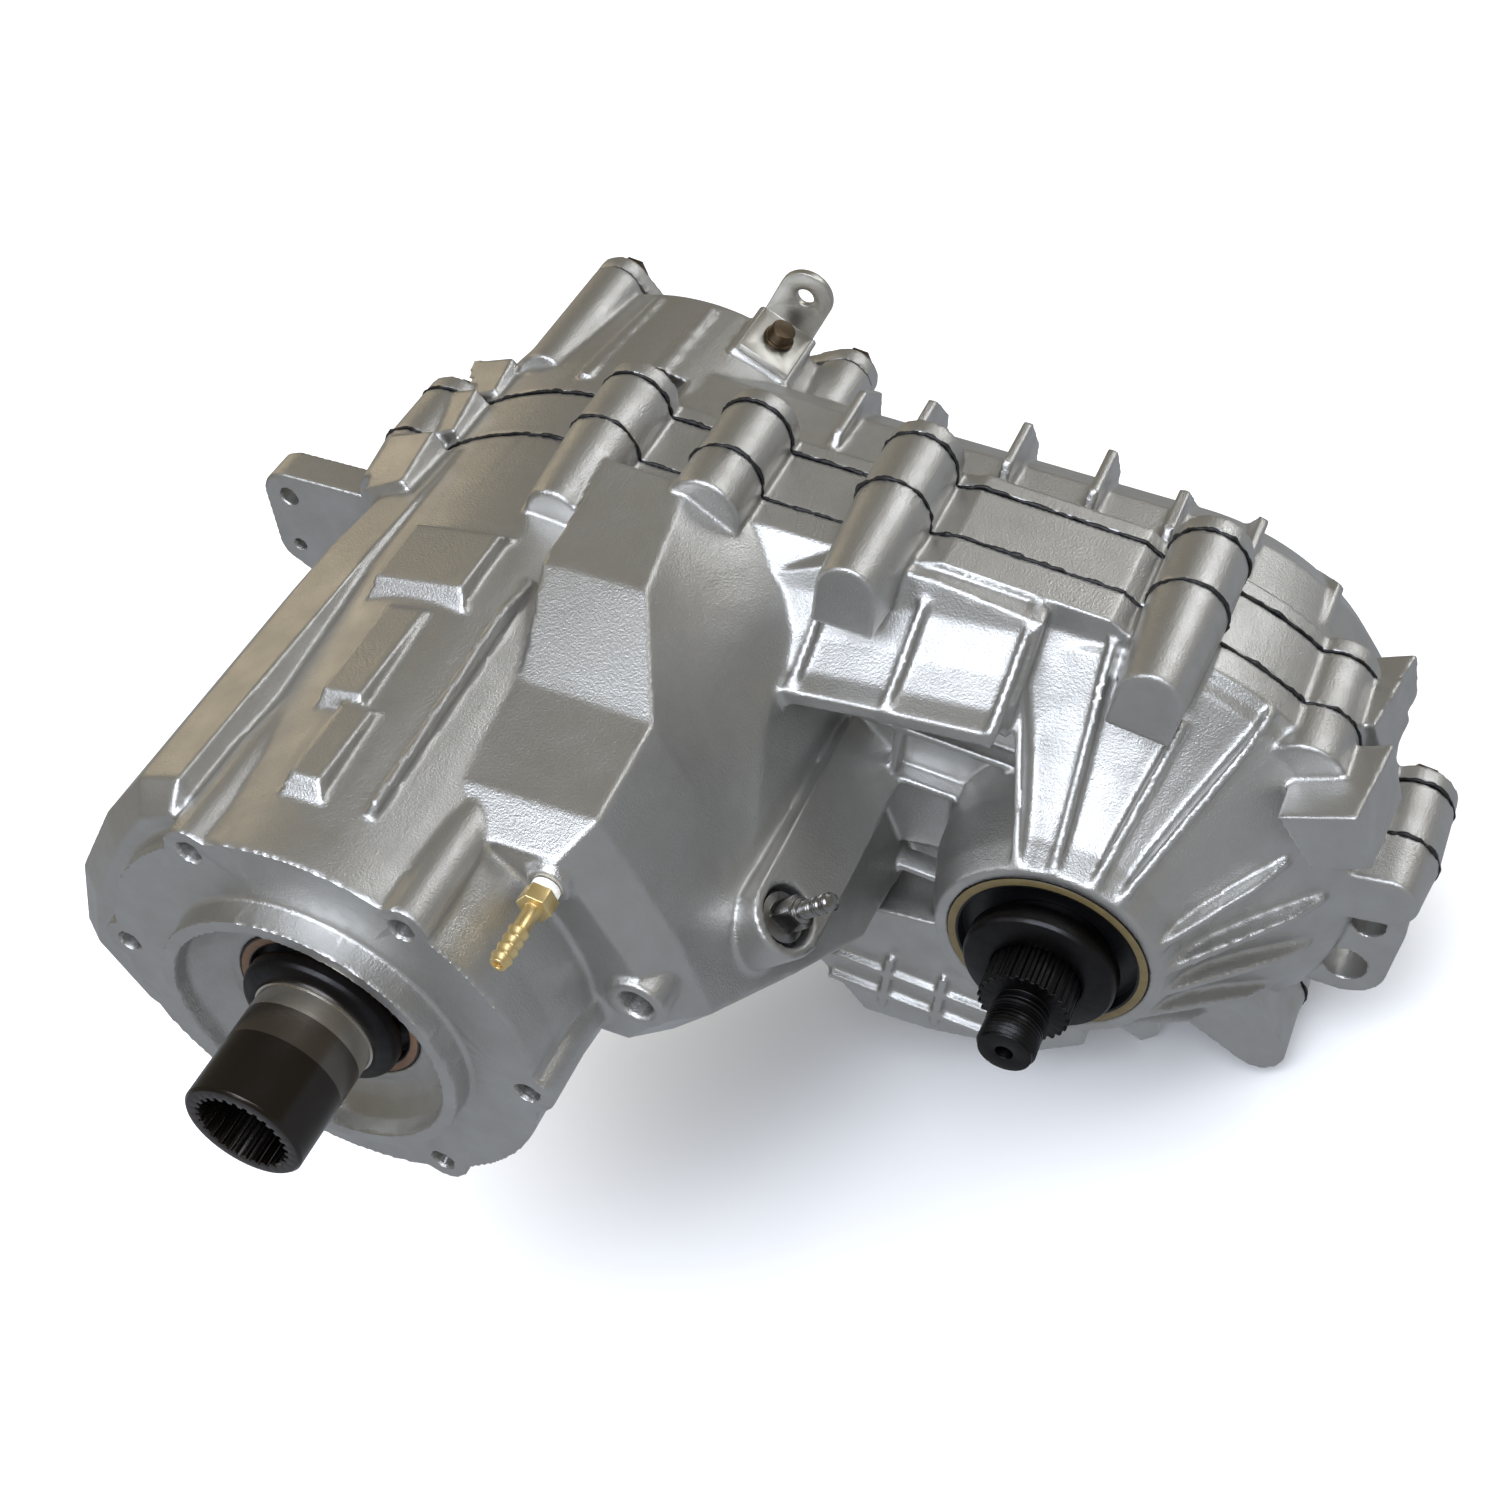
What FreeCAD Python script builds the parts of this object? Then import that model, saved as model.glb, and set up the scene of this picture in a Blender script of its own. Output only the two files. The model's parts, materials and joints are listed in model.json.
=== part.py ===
"""Chain-driven transfer case with a planetary low range and a front output.

Frame: millimetres, Y along the shafts with the input at -Y, X towards the front output, Z up.
The origin is on the input axis, at the machined face of the input flange.
Each piece is written as parts/NODE.step.
"""
import FreeCAD, Part
import math
import os

V = FreeCAD.Vector

# ---------------------------------------------------------------- driving dimensions
CLEAR = 0.3                 # gap between bodies that move past each other
RUN = 0.05                  # radial clearance of a running fit
SEAT = 0.02                 # radial clearance of a piece that is fitted and stays
PAST = 1.0                  # how far a cutting tool runs past the face it opens

IN_AXIS = (0.0, 0.0)
OUT_AXIS = (186.8, -97.0)   # front output axis, from the input axis

# stations along Y
Y_NOSE = 131.0              # front face of the front output nose
Y_LEDGE = 149.0             # front of the lip over the recess beside the nose
Y_FRONT_WALL = 158.0        # front wall of the chain housing
Y_CAVITY_FRONT = 189.0
RECESS_Y = 178.0            # floor of the recess beside the nose
Y_SEAM1 = 205.0             # front case meets the middle case
Y_SEAM2 = 232.0             # middle case meets the rear case
CAVITY_BEHIND = 37.0        # rear end of the chain cavity, behind the chain
PUMP_BEHIND = 23.0          # front of the oil pump, behind the chain
REAR_BRG_BEHIND = 8.0       # rear bearing, behind the pump
TAIL_BEHIND = 2.0           # rear face of the tail casting, behind the rear bearing
BEAD = 0.6                  # thickness of a sealant bead between two castings

# input flange
FLANGE_R = 80.0
FLANGE_T = 14.0
FLANGE_PCR = 76.0
FLANGE_HOLES = 6
FLANGE_FIRST = 36.0         # angle of the first hole
FLANGE_HOLE_R = 4.4
FLANGE_HOLE_DEPTH = 22.0
FLANGE_LOBE_R = 9.5
PILOT_R = 55.3
PILOT_WALL = 5.0
PILOT_T = 10.0

# walls
BELL_R = 88.0
HULL_A = 88.0               # chain housing, radius about the input axis at the seams
HULL_B = 98.0               # and about the front output axis
CHAIN_CAVITY_A = 69.0
CHAIN_CAVITY_B = 75.0
FIN_T = 4.0
RIB_T = 3.2

# shafts, bearings and seals
INPUT_R = 21.4
INPUT_BORE_R = 15.6
INPUT_TIP = -49.5
INPUT_SEAL_R = 22.2
INPUT_JOURNAL_R = 24.0
INPUT_BRG_R = 42.0
INPUT_BRG_Y = 16.0
INPUT_BRG_T = 20.0
SEAL_R = 34.0
SEAL_T = 8.0
SEAL_Y = 4.0
SLINGER_R = 29.0

MAIN_R = 20.0
MAIN_NOSE_R = 13.5
MAIN_REAR_R = 21.0
SPROCKET_SEAT_R = 24.0
TAIL_SEAL_R = 34.0
TAIL_SHAFT_R = 17.0
TAIL_COLLAR_R = 19.0
MAIN_OUT = 62.0             # how far the main shaft stands out of the tail
REAR_BRG_T = 18.0
REAR_BRG_R = 42.0

NOSE_R = 41.0
OUT_TIP = 85.3
OUT_THREAD_R = 10.5
OUT_SPLINE_R = 16.5
OUT_R = 22.0
OUT_SEAL_R = 36.4
OUT_BRG_R = 40.0
OUT_BRG_T = 18.0
OUT_TAIL_R = 15.0
OUT_REAR_BRG_R = 28.0
OUT_REAR_BRG_T = 14.0

# planetary range gears
SUN_TEETH = 36
PLANET_TEETH = 12
RING_TEETH = 60
GEAR_MODULE = 2.25
PLANETS = 4
GEAR_Y = 53.0
GEAR_T = 24.0
PLATE_T = 6.0
PIN_R = 5.0
CLUTCH_R = 28.0
CLUTCH_TEETH = 36

# sliding sleeves, their hub and forks
HUB_R = 30.0
HUB_Y = 150.0
HUB_T = 22.0
FORK_T = 8.0
RANGE_GROOVE_R = 32.0
MODE_GROOVE_R = 36.0
RAIL_ANGLE = -24.0          # the rail lies at this angle about the input axis
RAIL_OUT = 84.0
RAIL_R = 6.0
RAIL_FRONT = 50.0
RAIL_SEAT = 28.0            # depth of the bore that holds the rail

# chain and sprockets
CHAIN_PITCH = 9.525
CHAIN_Y = 236.0             # middle plane of the chain
CHAIN_W = 30.0
CHAIN_THICK = 8.0
SPROCKET_TEETH = 35
SPROCKET_TIP = 2.6          # tooth tip over the pitch circle
SPROCKET_ROOT = 3.4

# oil pump
PUMP_T = 12.0
PUMP_R = 50.0
PUMP_ROTOR_R = 34.0

# selector, which crosses the case square to the shafts
SEL_Y = 90.0
SEL_TILT = 21.6             # degrees above +X
SEL_FACE = 101.4            # outer face of its boss, from the foot of the square to the input axis
SEL_OFFSET = -82.1          # how far the shaft passes under the input axis
SEL_R = 9.0
SEL_BORE_R = 11.0
SEL_BOSS_R = 15.0
SEL_FLAT_R = 6.0
SEL_STUD_R = 3.2
SEL_INNER = 64.0

# fasteners and fittings
BOLT_R = 4.8
BOLT_HOLE_R = 5.2
HEAD_R = 9.0
BOLT_GRIP = 8.0             # casting under a case bolt's head, behind the seam
BOSS_R = 14.0
BOSS_TIP_R = 11.0           # the bosses taper to this at their front
BOSS_ROOT = 17.0            # and reach this far down into the wall
DOWEL_R = 4.0
TAIL_BOLT_R = 4.0
TAIL_BOLT_PCR = 82.0
TAIL_BOSS_R = 11.5
RETAINER_T = 7.0
RETAINER_R = 58.0
RETAINER_OUT = 38.0         # how far the retainer's neck stands out
PLUG_R = 10.0
PLUG_FLANGE_R = 13.0
PLUG_SUNK = 8.0             # seat of the plugs, in front of the tail face
PORT_SPOT = (95.0, -27.0)   # threaded port for the range switch
PORT_R = 6.2
PORT_BOSS_R = 10.7
PORT_Y = 36.0
VENT_SPOT = (88.0, 28.0)
VENT_Y = 36.0
VENT_R = 4.0
BRACKET_ANGLE = 42.0
BRACKET_SEAT_R = 86.0       # the pad that the lifting bracket stands on
BRACKET_HALF = 11.0
BRACKET_T = 3.0
BRACKET_REACH = 18.0        # hole of the bracket, above its foot
BRACKET_BOLT_R = 3.0
EAR_T = 15.0
EAR_LEFT = [(-101.0, 79.0, 4.0), (-110.0, 56.0, 2.8)]
EAR_RIGHT = [(265.0, -161.0, 8.0), (278.0, -140.0, 6.0)]

# ---------------------------------------------------------------- sizes that follow
DROP = math.hypot(OUT_AXIS[0], OUT_AXIS[1])
UX, UZ = OUT_AXIS[0] / DROP, OUT_AXIS[1] / DROP     # along the line of the two axes
NX, NZ = -UZ, UX                                    # and square to it
HEAD_Y = Y_SEAM2 + BOLT_GRIP
CHAIN_END = CHAIN_Y + CHAIN_W / 2
Y_CAVITY_REAR = CHAIN_END + CAVITY_BEHIND
PUMP_Y = CHAIN_END + PUMP_BEHIND
REAR_BRG_Y = PUMP_Y + PUMP_T + REAR_BRG_BEHIND
Y_TAIL_END = REAR_BRG_Y + REAR_BRG_T + TAIL_BEHIND
PLUG_SEAT = Y_TAIL_END - PLUG_SUNK
MAIN_TIP = Y_TAIL_END + MAIN_OUT
SUN_R = GEAR_MODULE * SUN_TEETH / 2
PLANET_R = GEAR_MODULE * PLANET_TEETH / 2
RING_R = GEAR_MODULE * RING_TEETH / 2
ADDENDUM = GEAR_MODULE * 0.76
DEDENDUM = GEAR_MODULE * 1.15
RING_OUT = RING_R + DEDENDUM + 3.0
CARRIER_R = SUN_R + PLANET_R
CARRIER_PLATE_R = CARRIER_R + 9.0
CARRIER_FRONT = GEAR_Y - 3 - PLATE_T
CARRIER_REAR = GEAR_Y + GEAR_T + 3
OUT_BRG_Y = Y_NOSE + SEAL_T + 3
OUT_REAR_BRG_Y = Y_CAVITY_REAR + 2
SPROCKET_PITCH_R = CHAIN_PITCH / 2 / math.sin(math.pi / SPROCKET_TEETH)
SLEEVE_Y = GEAR_Y + GEAR_T - 8
SLEEVE_GROOVE_Y = SLEEVE_Y + 40
MODE_Y = HUB_Y + 8
GROOVE_W = FORK_T + 2 * CLEAR
SEL_DIR = (math.cos(math.radians(SEL_TILT)), math.sin(math.radians(SEL_TILT)))


# ---------------------------------------------------------------- helpers
def on_line(u, n):
    """A place u along the line of the two axes and n above it."""
    return (u * UX + n * NX, u * UZ + n * NZ)


def about(axis, radius, degrees):
    """A place at a radius and an angle about one of the two axes."""
    a = math.radians(degrees)
    return (axis[0] + radius * math.cos(a), axis[1] + radius * math.sin(a))


def rod(r, y0, y1, axis=IN_AXIS):
    return Part.makeCylinder(r, y1 - y0, V(axis[0], y0, axis[1]), V(0, 1, 0))


def tube(ro, ri, y0, y1, axis=IN_AXIS):
    return rod(ro, y0, y1, axis).cut(rod(ri, y0 - 1, y1 + 1, axis))


def cone(r0, r1, y0, y1, axis=IN_AXIS):
    return Part.makeCone(r0, r1, y1 - y0, V(axis[0], y0, axis[1]), V(0, 1, 0))


def turned(profile, axis=IN_AXIS):
    """A solid of revolution about an axis along Y, from (y, radius) pairs."""
    points = [V(axis[0] + r, y, axis[1]) for y, r in profile]
    face = Part.Face(Part.makePolygon(points + points[:1]))
    return face.revolve(V(axis[0], 0, axis[1]), V(0, 1, 0), 360)


def outline_wire(points, y):
    loop = [V(x, y, z) for x, z in points]
    return Part.makePolygon(loop + loop[:1])


def slab(points, y0, y1):
    """A prism along Y on an outline of (x, z) points."""
    return Part.Face(outline_wire(points, y0)).extrude(V(0, y1 - y0, 0))


def loft(sections):
    """A faceted solid through (y, outline) sections with equal numbers of points."""
    wires = [outline_wire(points, y) for y, points in sections]
    return Part.makeLoft(wires, True, True)


def belt_wire(ra, rb, y, a=IN_AXIS, b=OUT_AXIS):
    """The outline of a tight belt round two circles."""
    dist = math.hypot(b[0] - a[0], b[1] - a[1])
    ux, uz = (b[0] - a[0]) / dist, (b[1] - a[1]) / dist
    s = (ra - rb) / dist
    c = math.sqrt(1 - s * s)
    up = (ux * s - uz * c, uz * s + ux * c)
    low = (ux * s + uz * c, uz * s - ux * c)
    a_up = V(a[0] + ra * up[0], y, a[1] + ra * up[1])
    b_up = V(b[0] + rb * up[0], y, b[1] + rb * up[1])
    a_low = V(a[0] + ra * low[0], y, a[1] + ra * low[1])
    b_low = V(b[0] + rb * low[0], y, b[1] + rb * low[1])
    a_far = V(a[0] - ra * ux, y, a[1] - ra * uz)
    b_far = V(b[0] + rb * ux, y, b[1] + rb * uz)
    edges = [Part.makeLine(a_up, b_up), Part.Arc(b_up, b_far, b_low).toShape(),
             Part.makeLine(b_low, a_low), Part.Arc(a_low, a_far, a_up).toShape()]
    return Part.Wire(edges)


def belt(sections, a=IN_AXIS, b=OUT_AXIS):
    """A tapered block on belt outlines, from (y, radius at a, radius at b)."""
    return Part.makeLoft([belt_wire(ra, rb, y, a, b) for y, ra, rb in sections], True, True)


def tongue(a, ra, b, rb, y0, y1):
    """A flat link along Y between two round ends."""
    return Part.Face(belt_wire(ra, rb, y0, a, b)).extrude(V(0, y1 - y0, 0))


def fuse(solids):
    result = solids[0].fuse(solids[1:]) if len(solids) > 1 else solids[0]
    return result.removeSplitter()


def cut(solid, tools):
    return solid.cut(tools)


def toothed(teeth, root, tip, y0, y1, axis=IN_AXIS, root_share=0.62, tip_share=0.34, phase=0.0):
    """A toothed disc. The shares are the tooth's width over the pitch at its root and tip."""
    points = []
    for i in range(teeth):
        mid = math.degrees(2 * math.pi * (i + phase) / teeth)
        half_root = 180.0 / teeth * root_share
        half_tip = 180.0 / teeth * tip_share
        points.append(about(axis, root, mid - half_root))
        points.append(about(axis, tip, mid - half_tip))
        points.append(about(axis, tip, mid + half_tip))
        points.append(about(axis, root, mid + half_root))
    return slab(points, y0, y1)


def along_selector(s, across=0.0):
    """A place s along the selector shaft, and across it."""
    x = -SEL_DIR[1] * (SEL_OFFSET + across) + SEL_DIR[0] * s
    z = SEL_DIR[0] * (SEL_OFFSET + across) + SEL_DIR[1] * s
    return (x, z)


def selector_rod(r, s0, s1):
    x, z = along_selector(s0)
    return Part.makeCylinder(r, s1 - s0, V(x, SEL_Y, z), V(SEL_DIR[0], 0, SEL_DIR[1]))


def selector_box(s0, s1, y0, y1, half):
    """A block whose faces are square to the selector shaft, half wide across it."""
    return slab([along_selector(s0, -half), along_selector(s1, -half), along_selector(s1, half),
                 along_selector(s0, half)], y0, y1)


def radial_box(angle, r0, r1, y0, y1, half):
    """A block that stands on the input axis side at an angle, half wide across it."""
    a = math.radians(angle)
    out = V(math.cos(a), 0, math.sin(a))
    side = V(-math.sin(a), 0, math.cos(a))
    corners = [out * r0 - side * half, out * r1 - side * half, out * r1 + side * half, out * r0 + side * half]
    corners = [c + V(0, y0, 0) for c in corners]
    return Part.Face(Part.makePolygon(corners + corners[:1])).extrude(V(0, y1 - y0, 0))


def radial_rod(angle, radius, r0, r1, y):
    """A rod that points away from the input axis at an angle."""
    x, z = about(IN_AXIS, r0, angle)
    dx, dz = about(IN_AXIS, 1.0, angle)
    return Part.makeCylinder(radius, r1 - r0, V(x, y, z), V(dx, 0, dz))


def blade(profile, spot_of, thickness, across):
    """A flat rib. The profile is (distance out, y); spot_of turns a distance into a place."""
    points = []
    for r, y in profile:
        x, z = spot_of(r)
        points.append(V(x - across[0] * thickness / 2, y, z - across[1] * thickness / 2))
    face = Part.Face(Part.makePolygon(points + points[:1]))
    return face.extrude(V(across[0] * thickness, 0, across[1] * thickness))


def write(name, solids):
    shape = solids[0] if len(solids) == 1 else Part.makeCompound(solids)
    shape.exportStep("parts/" + name + ".step")


# ---------------------------------------------------------------- places of the fasteners
BOLT_SPOTS = [
    about(IN_AXIS, HULL_A + 1.5, 61),
    on_line(112, HULL_B + 7),
    about(OUT_AXIS, HULL_B + 7, 59),
    about(OUT_AXIS, HULL_B + 7, -14),
    about(OUT_AXIS, HULL_B + 6, -68),
    on_line(158, -HULL_B - 12),
    on_line(70, -HULL_A - 8),
    about(IN_AXIS, HULL_A + 6, -125),
    about(IN_AXIS, HULL_A + 6, 172),
    about(IN_AXIS, HULL_A + 4, 118),
]
BOSS_FRONTS = [164, 160, 160, 184, 176, 180, 180, 176, 176, 180]
BOLT_ENGAGED = 12.0         # solid end of a boss in front of the bolt's tip
DOWEL_SPOTS = [on_line(50, HULL_A + 7), about(OUT_AXIS, HULL_B - 5, 22)]
TAIL_BOLTS = [about(IN_AXIS, TAIL_BOLT_PCR, angle) for angle in (20, 95, 168, 240, 300)]
FLANGE_SPOTS = [about(IN_AXIS, FLANGE_PCR, FLANGE_FIRST + 360.0 / FLANGE_HOLES * i)
                for i in range(FLANGE_HOLES)]
PLUG_SPOTS = [about(OUT_AXIS, 62, -100), about(OUT_AXIS, 66, 160)]
RAIL_SPOT = about(IN_AXIS, RAIL_OUT, RAIL_ANGLE)

# outlines of the chain housing beyond its belt shape, along and above the line of the axes
TOP_PANEL = [(110, 70), (116, 97), (135, 104), (195, 104), (212, 94), (216, 70)]
SUMP = [(96, -50), (112, -84), (127, -96), (145, -114), (172, -111), (215, -98), (232, -82), (216, -50)]
SUMP_HOLLOW = [(108, -50), (118, -78), (133, -90), (150, -103), (171, -101), (206, -90), (214, -80),
               (206, -50)]


# the lower edge of the hollow panel, and the side of the nose where the flare stops
PANEL_LINE = [(60, 50), (92, 60), (121, 66), (172, 75), (176, 76)]
FLARE_END = [(60, -60), (60, 74), (171, 74), (190, 38), (174, 20), (168, 0), (166, -30), (158, -60)]

# ribs of the nose: direction, how far they reach and where their tops end
NOSE_RIBS = [(88, 98, 188), (70, 98, 188), (50, 84, 176), (36, 98, 188), (4, 78, 172), (-12, 86, 178),
             (-29, 84, 177),
             (-50, 84, 177), (-72, 84, 177), (-95, 84, 177)]


def outline(spots, y0, y1):
    return slab([on_line(u, n) for u, n in spots], y0, y1)


def boss_block(spot, y0, y1):
    """A tapered round boss with a square root that reaches down into the wall."""
    u = spot[0] * UX + spot[1] * UZ
    centre = on_line(min(max(u, 0.0), DROP), 0)
    dx, dz = spot[0] - centre[0], spot[1] - centre[1]
    length = math.hypot(dx, dz)
    dx, dz = dx / length, dz / length

    def root(half):
        low = (spot[0] - dx * BOSS_ROOT, spot[1] - dz * BOSS_ROOT)
        return [(spot[0] - dz * half, spot[1] + dx * half), (low[0] - dz * half, low[1] + dx * half),
                (low[0] + dz * half, low[1] - dx * half), (spot[0] + dz * half, spot[1] - dx * half)]
    return cone(BOSS_TIP_R, BOSS_R, y0, y1, spot).fuse(loft([(y0, root(BOSS_TIP_R)), (y1, root(BOSS_R))]))


def joint_outline(y0, y1):
    """The outline that the castings share at their seams, as a block."""
    solids = [belt([(y0, HULL_A, HULL_B), (y1, HULL_A, HULL_B)]), outline(TOP_PANEL, y0, y1),
              outline(SUMP, y0, y1)]
    for spot in BOLT_SPOTS + DOWEL_SPOTS:
        solids.append(rod(BOSS_R, y0, y1, spot))
    return solids


def joint_hollow(y0, y1):
    """The chain cavity through a seam, with its sump."""
    return [belt([(y0, CHAIN_CAVITY_A, CHAIN_CAVITY_B), (y1, CHAIN_CAVITY_A, CHAIN_CAVITY_B)]),
            outline(SUMP_HOLLOW, y0, y1)]


def joint_holes(y0, y1):
    """Bolt and dowel holes through a seam, and room behind the right-hand ear's holes."""
    holes = [rod(BOLT_HOLE_R, y0, y1, spot) for spot in BOLT_SPOTS]
    holes += [rod(r + 3, y0, y1, (x, z)) for x, z, r in EAR_RIGHT]
    return holes + [rod(DOWEL_R + SEAT, y0, y1, spot) for spot in DOWEL_SPOTS]


# ---------------------------------------------------------------- front case
def input_flange():
    solids = [rod(FLANGE_R, 0, FLANGE_T), rod(PILOT_R, -PILOT_T, 2)]
    for spot in FLANGE_SPOTS:
        solids.append(rod(FLANGE_LOBE_R, 0, 40, spot))
        solids.append(cone(FLANGE_LOBE_R, 4.0, 40, 110, spot))
    return solids


def bell():
    """The round body behind the flange, which widens to the rear."""
    return turned([(4, 0), (4, FLANGE_R - 1), (60, BELL_R - 5), (130, BELL_R), (Y_SEAM1, BELL_R),
                   (Y_SEAM1, 0)])


def left_cheek():
    """The flat-faced swelling on the left of the bell."""
    nose = [(-12, 60), (-16, 84), (-32, 82), (-54, 68), (-82, 44), (-100, 20), (-96, -10), (-76, -36),
            (-40, -50)]
    front = [(-10, 60), (-14, 92), (-32, 92), (-61, 75), (-92, 50), (-112, 22), (-108, -10), (-84, -42),
             (-40, -50)]
    rear = [(-10, 60), (-14, 90), (-36, 90), (-68, 71), (-94, 47), (-108, 18), (-104, -12), (-82, -44),
            (-40, -50)]
    end = [(-10, 60), (-14, 88), (-34, 86), (-64, 66), (-84, 44), (-94, 16), (-92, -14), (-76, -42),
           (-40, -48)]
    return loft([(8, nose), (17, front), (140, rear), (198, end)])


def bell_pads():
    """Raised pads on the top of the bell, and a tall draft rib beside them."""
    pads = []
    for y0, y1, a0, a1, r in ((24, 66, 66, 80, BELL_R - 3), (60, 112, 70, 86, BELL_R - 1),
                              (112, 150, 64, 92, BELL_R + 4)):
        low = [about(IN_AXIS, 70, a0), about(IN_AXIS, r - 4, a0 + 1), about(IN_AXIS, r - 4, a1 - 1),
               about(IN_AXIS, 70, a1)]
        top = [about(IN_AXIS, 70, a0), about(IN_AXIS, r + 1, a0 + 3), about(IN_AXIS, r + 1, a1 - 3),
               about(IN_AXIS, 70, a1)]
        pads.append(loft([(y0, low), (y0 + 5, top), (y1 - 5, top), (y1, low)]))
    out = about(IN_AXIS, 1.0, 56)
    pads.append(blade([(70, 22), (86, 28), (97, 112), (90, 134), (70, 134)],
                      lambda r: (out[0] * r, out[1] * r), RIB_T,
                      (-out[1], out[0])))
    return pads


def shift_housing():
    """The faceted swelling on the right of the bell that holds the shift rail."""
    return loft([
        (39, [(40, 10), (60, 50), (94, 36), (100, -14), (98, -38), (80, -48), (35, -30)]),
        (54, [(40, 10), (60, 57), (104, 40), (109, -14), (106, -50), (85, -60), (35, -34)]),
        (96, [(40, 10), (60, 62), (104, 42), (110, -30), (109, -76), (88, -84), (35, -50)]),
        (136, [(40, 10), (56, 80), (92, 66), (112, 4), (110, -100), (88, -106), (35, -60)]),
        (190, [(40, 10), (56, 84), (84, 70), (116, 30), (112, -104), (86, -106), (35, -60)]),
    ])


def selector_boss():
    inner = SEL_FACE - 40
    return [selector_rod(SEL_BOSS_R, inner, SEL_FACE),
            selector_box(inner, SEL_FACE, SEL_Y, Y_CAVITY_FRONT - 4, SEL_BOSS_R)]


def chain_front():
    """The front wall of the chain housing, with the hollow panel over its lip."""
    dome = belt([(Y_FRONT_WALL, 60, 52), (Y_FRONT_WALL + 12, 75, 66),
                 (Y_FRONT_WALL + 24, HULL_A - 5, HULL_B - 14),
                 (Y_SEAM1 - 12, HULL_A, HULL_B), (Y_SEAM1, HULL_A, HULL_B)])
    wall = fuse([dome, panel_ledge(), panel_block(), outline(SUMP, Y_FRONT_WALL, Y_SEAM1)])
    return [cut(wall, [panel_trough()] + wall_recess()), outline(TOP_PANEL, Y_SEAM1 - 15, Y_SEAM1),
            nose()] + recess_ribs()


def nose():
    """The flared end that carries the output bearing and its seal."""
    return turned([(Y_NOSE, 0), (Y_NOSE, NOSE_R), (Y_NOSE + 9, NOSE_R + 4), (Y_FRONT_WALL, NOSE_R + 9),
                   (Y_CAVITY_FRONT, NOSE_R + 11), (Y_CAVITY_FRONT, 0)], OUT_AXIS)


def nose_flare():
    """The hollow-sided flare from the nose to the rim, but for the side where the recess is."""
    flare = turned([(Y_NOSE + 7, 0), (Y_NOSE + 7, NOSE_R), (Y_NOSE + 10, NOSE_R + 4),
                    (Y_NOSE + 20, NOSE_R + 11),
                    (Y_NOSE + 31, NOSE_R + 22), (Y_NOSE + 43, NOSE_R + 36), (Y_NOSE + 55, HULL_B - 5),
                    (Y_SEAM1 - 14, HULL_B - 3),
                    (Y_SEAM1 - 14, 0)], OUT_AXIS)
    return cut(flare, [outline(FLARE_END, Y_NOSE, Y_SEAM1)])


def nose_ribs():
    """Thin straight-topped ribs from the nose out to the rim of the housing."""
    ribs = []
    for angle, reach, end in NOSE_RIBS:
        d = about(IN_AXIS, 1.0, angle)
        profile = [(NOSE_R - 3, Y_NOSE + 0.5), (NOSE_R + 1, Y_NOSE + 1), (reach - 8, end - 12), (reach, end),
                   (reach, Y_SEAM1 - 8),
                   (NOSE_R - 3, Y_SEAM1 - 8)]
        ribs.append(blade(profile, lambda r: (OUT_AXIS[0] + d[0] * r, OUT_AXIS[1] + d[1] * r), RIB_T,
                          (-d[1], d[0])))
    return ribs


def panel_section(u, low):
    """The hollow curve of the panel over the lip, with everything above it."""
    curve = [(low, Y_LEDGE - 4), (low + 3, Y_LEDGE + 9), (low + 10, Y_LEDGE + 20), (low + 21, Y_LEDGE + 30),
             (low + 34, Y_LEDGE + 36),
             (low + 60, Y_LEDGE + 36), (low + 60, Y_LEDGE - 4)]
    points = [V(*place3(u, n, y)) for n, y in curve]
    return Part.makePolygon(points + points[:1])


def place3(u, n, y):
    x, z = on_line(u, n)
    return x, y, z


def panel_trough():
    """What is taken off above the panel between the bell and the nose."""
    return Part.makeLoft([panel_section(u, low) for u, low in PANEL_LINE], True, True)


def panel_block():
    """Solid behind the panel, up to the rim."""
    return outline([(78, 40), (78, 82), (110, 98), (136, 101), (175, 101), (175, 56), (110, 40)],
                   Y_LEDGE + 12, Y_SEAM1 - 12)


def panel_ribs():
    """Ribs that stand in the hollow panel."""
    ribs = []
    for u, low, top in ((100, 61, 92), (134, 68, 101), (171, 75, 103)):
        profile = [(low - 6, Y_LEDGE + 1), (low + 2, Y_LEDGE + 1), (low + 10, Y_LEDGE + 12),
                   (low + 22, Y_LEDGE + 26),
                   (top, Y_LEDGE + 40), (top, Y_SEAM1 - 7), (low - 6, Y_SEAM1 - 7)]
        ribs.append(blade(profile, lambda n: on_line(u, n), RIB_T, (UX, UZ)))
    return ribs


def panel_ledge():
    """The lip that overhangs the recess between the bell and the nose."""
    lip = [(66, 32), (80, 44), (95, 55), (121, 61), (172, 70), (172, 88), (90, 84), (66, 62)]
    return outline(lip, Y_LEDGE, Y_LEDGE + 16)


def wall_recess():
    """The hollow under the lip, open to the front, with a deeper window below it."""
    hollow = [(66, 14), (78, 38), (95, 50), (121, 56), (170, 65), (190, 60), (190, -40), (70, -44)]
    window = [(126, -33), (159, -24), (169, -43), (124, -52)]
    return [outline(hollow, Y_NOSE - 20, RECESS_Y), outline(window, Y_NOSE - 20, RECESS_Y + 5)]


def recess_ribs():
    """The grid of ribs on the floor of the recess."""
    ribs = []
    for n in (38, 12, -36):
        ribs.append(outline([(90, n), (182, n), (182, n + RIB_T), (90, n + RIB_T)], RECESS_Y - 8,
                            RECESS_Y + 2))
    ribs.append(outline([(134, 12), (134 + RIB_T, 12), (134 + RIB_T, 58), (134, 58)], RECESS_Y - 8,
                        RECESS_Y + 2))
    return ribs


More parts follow.
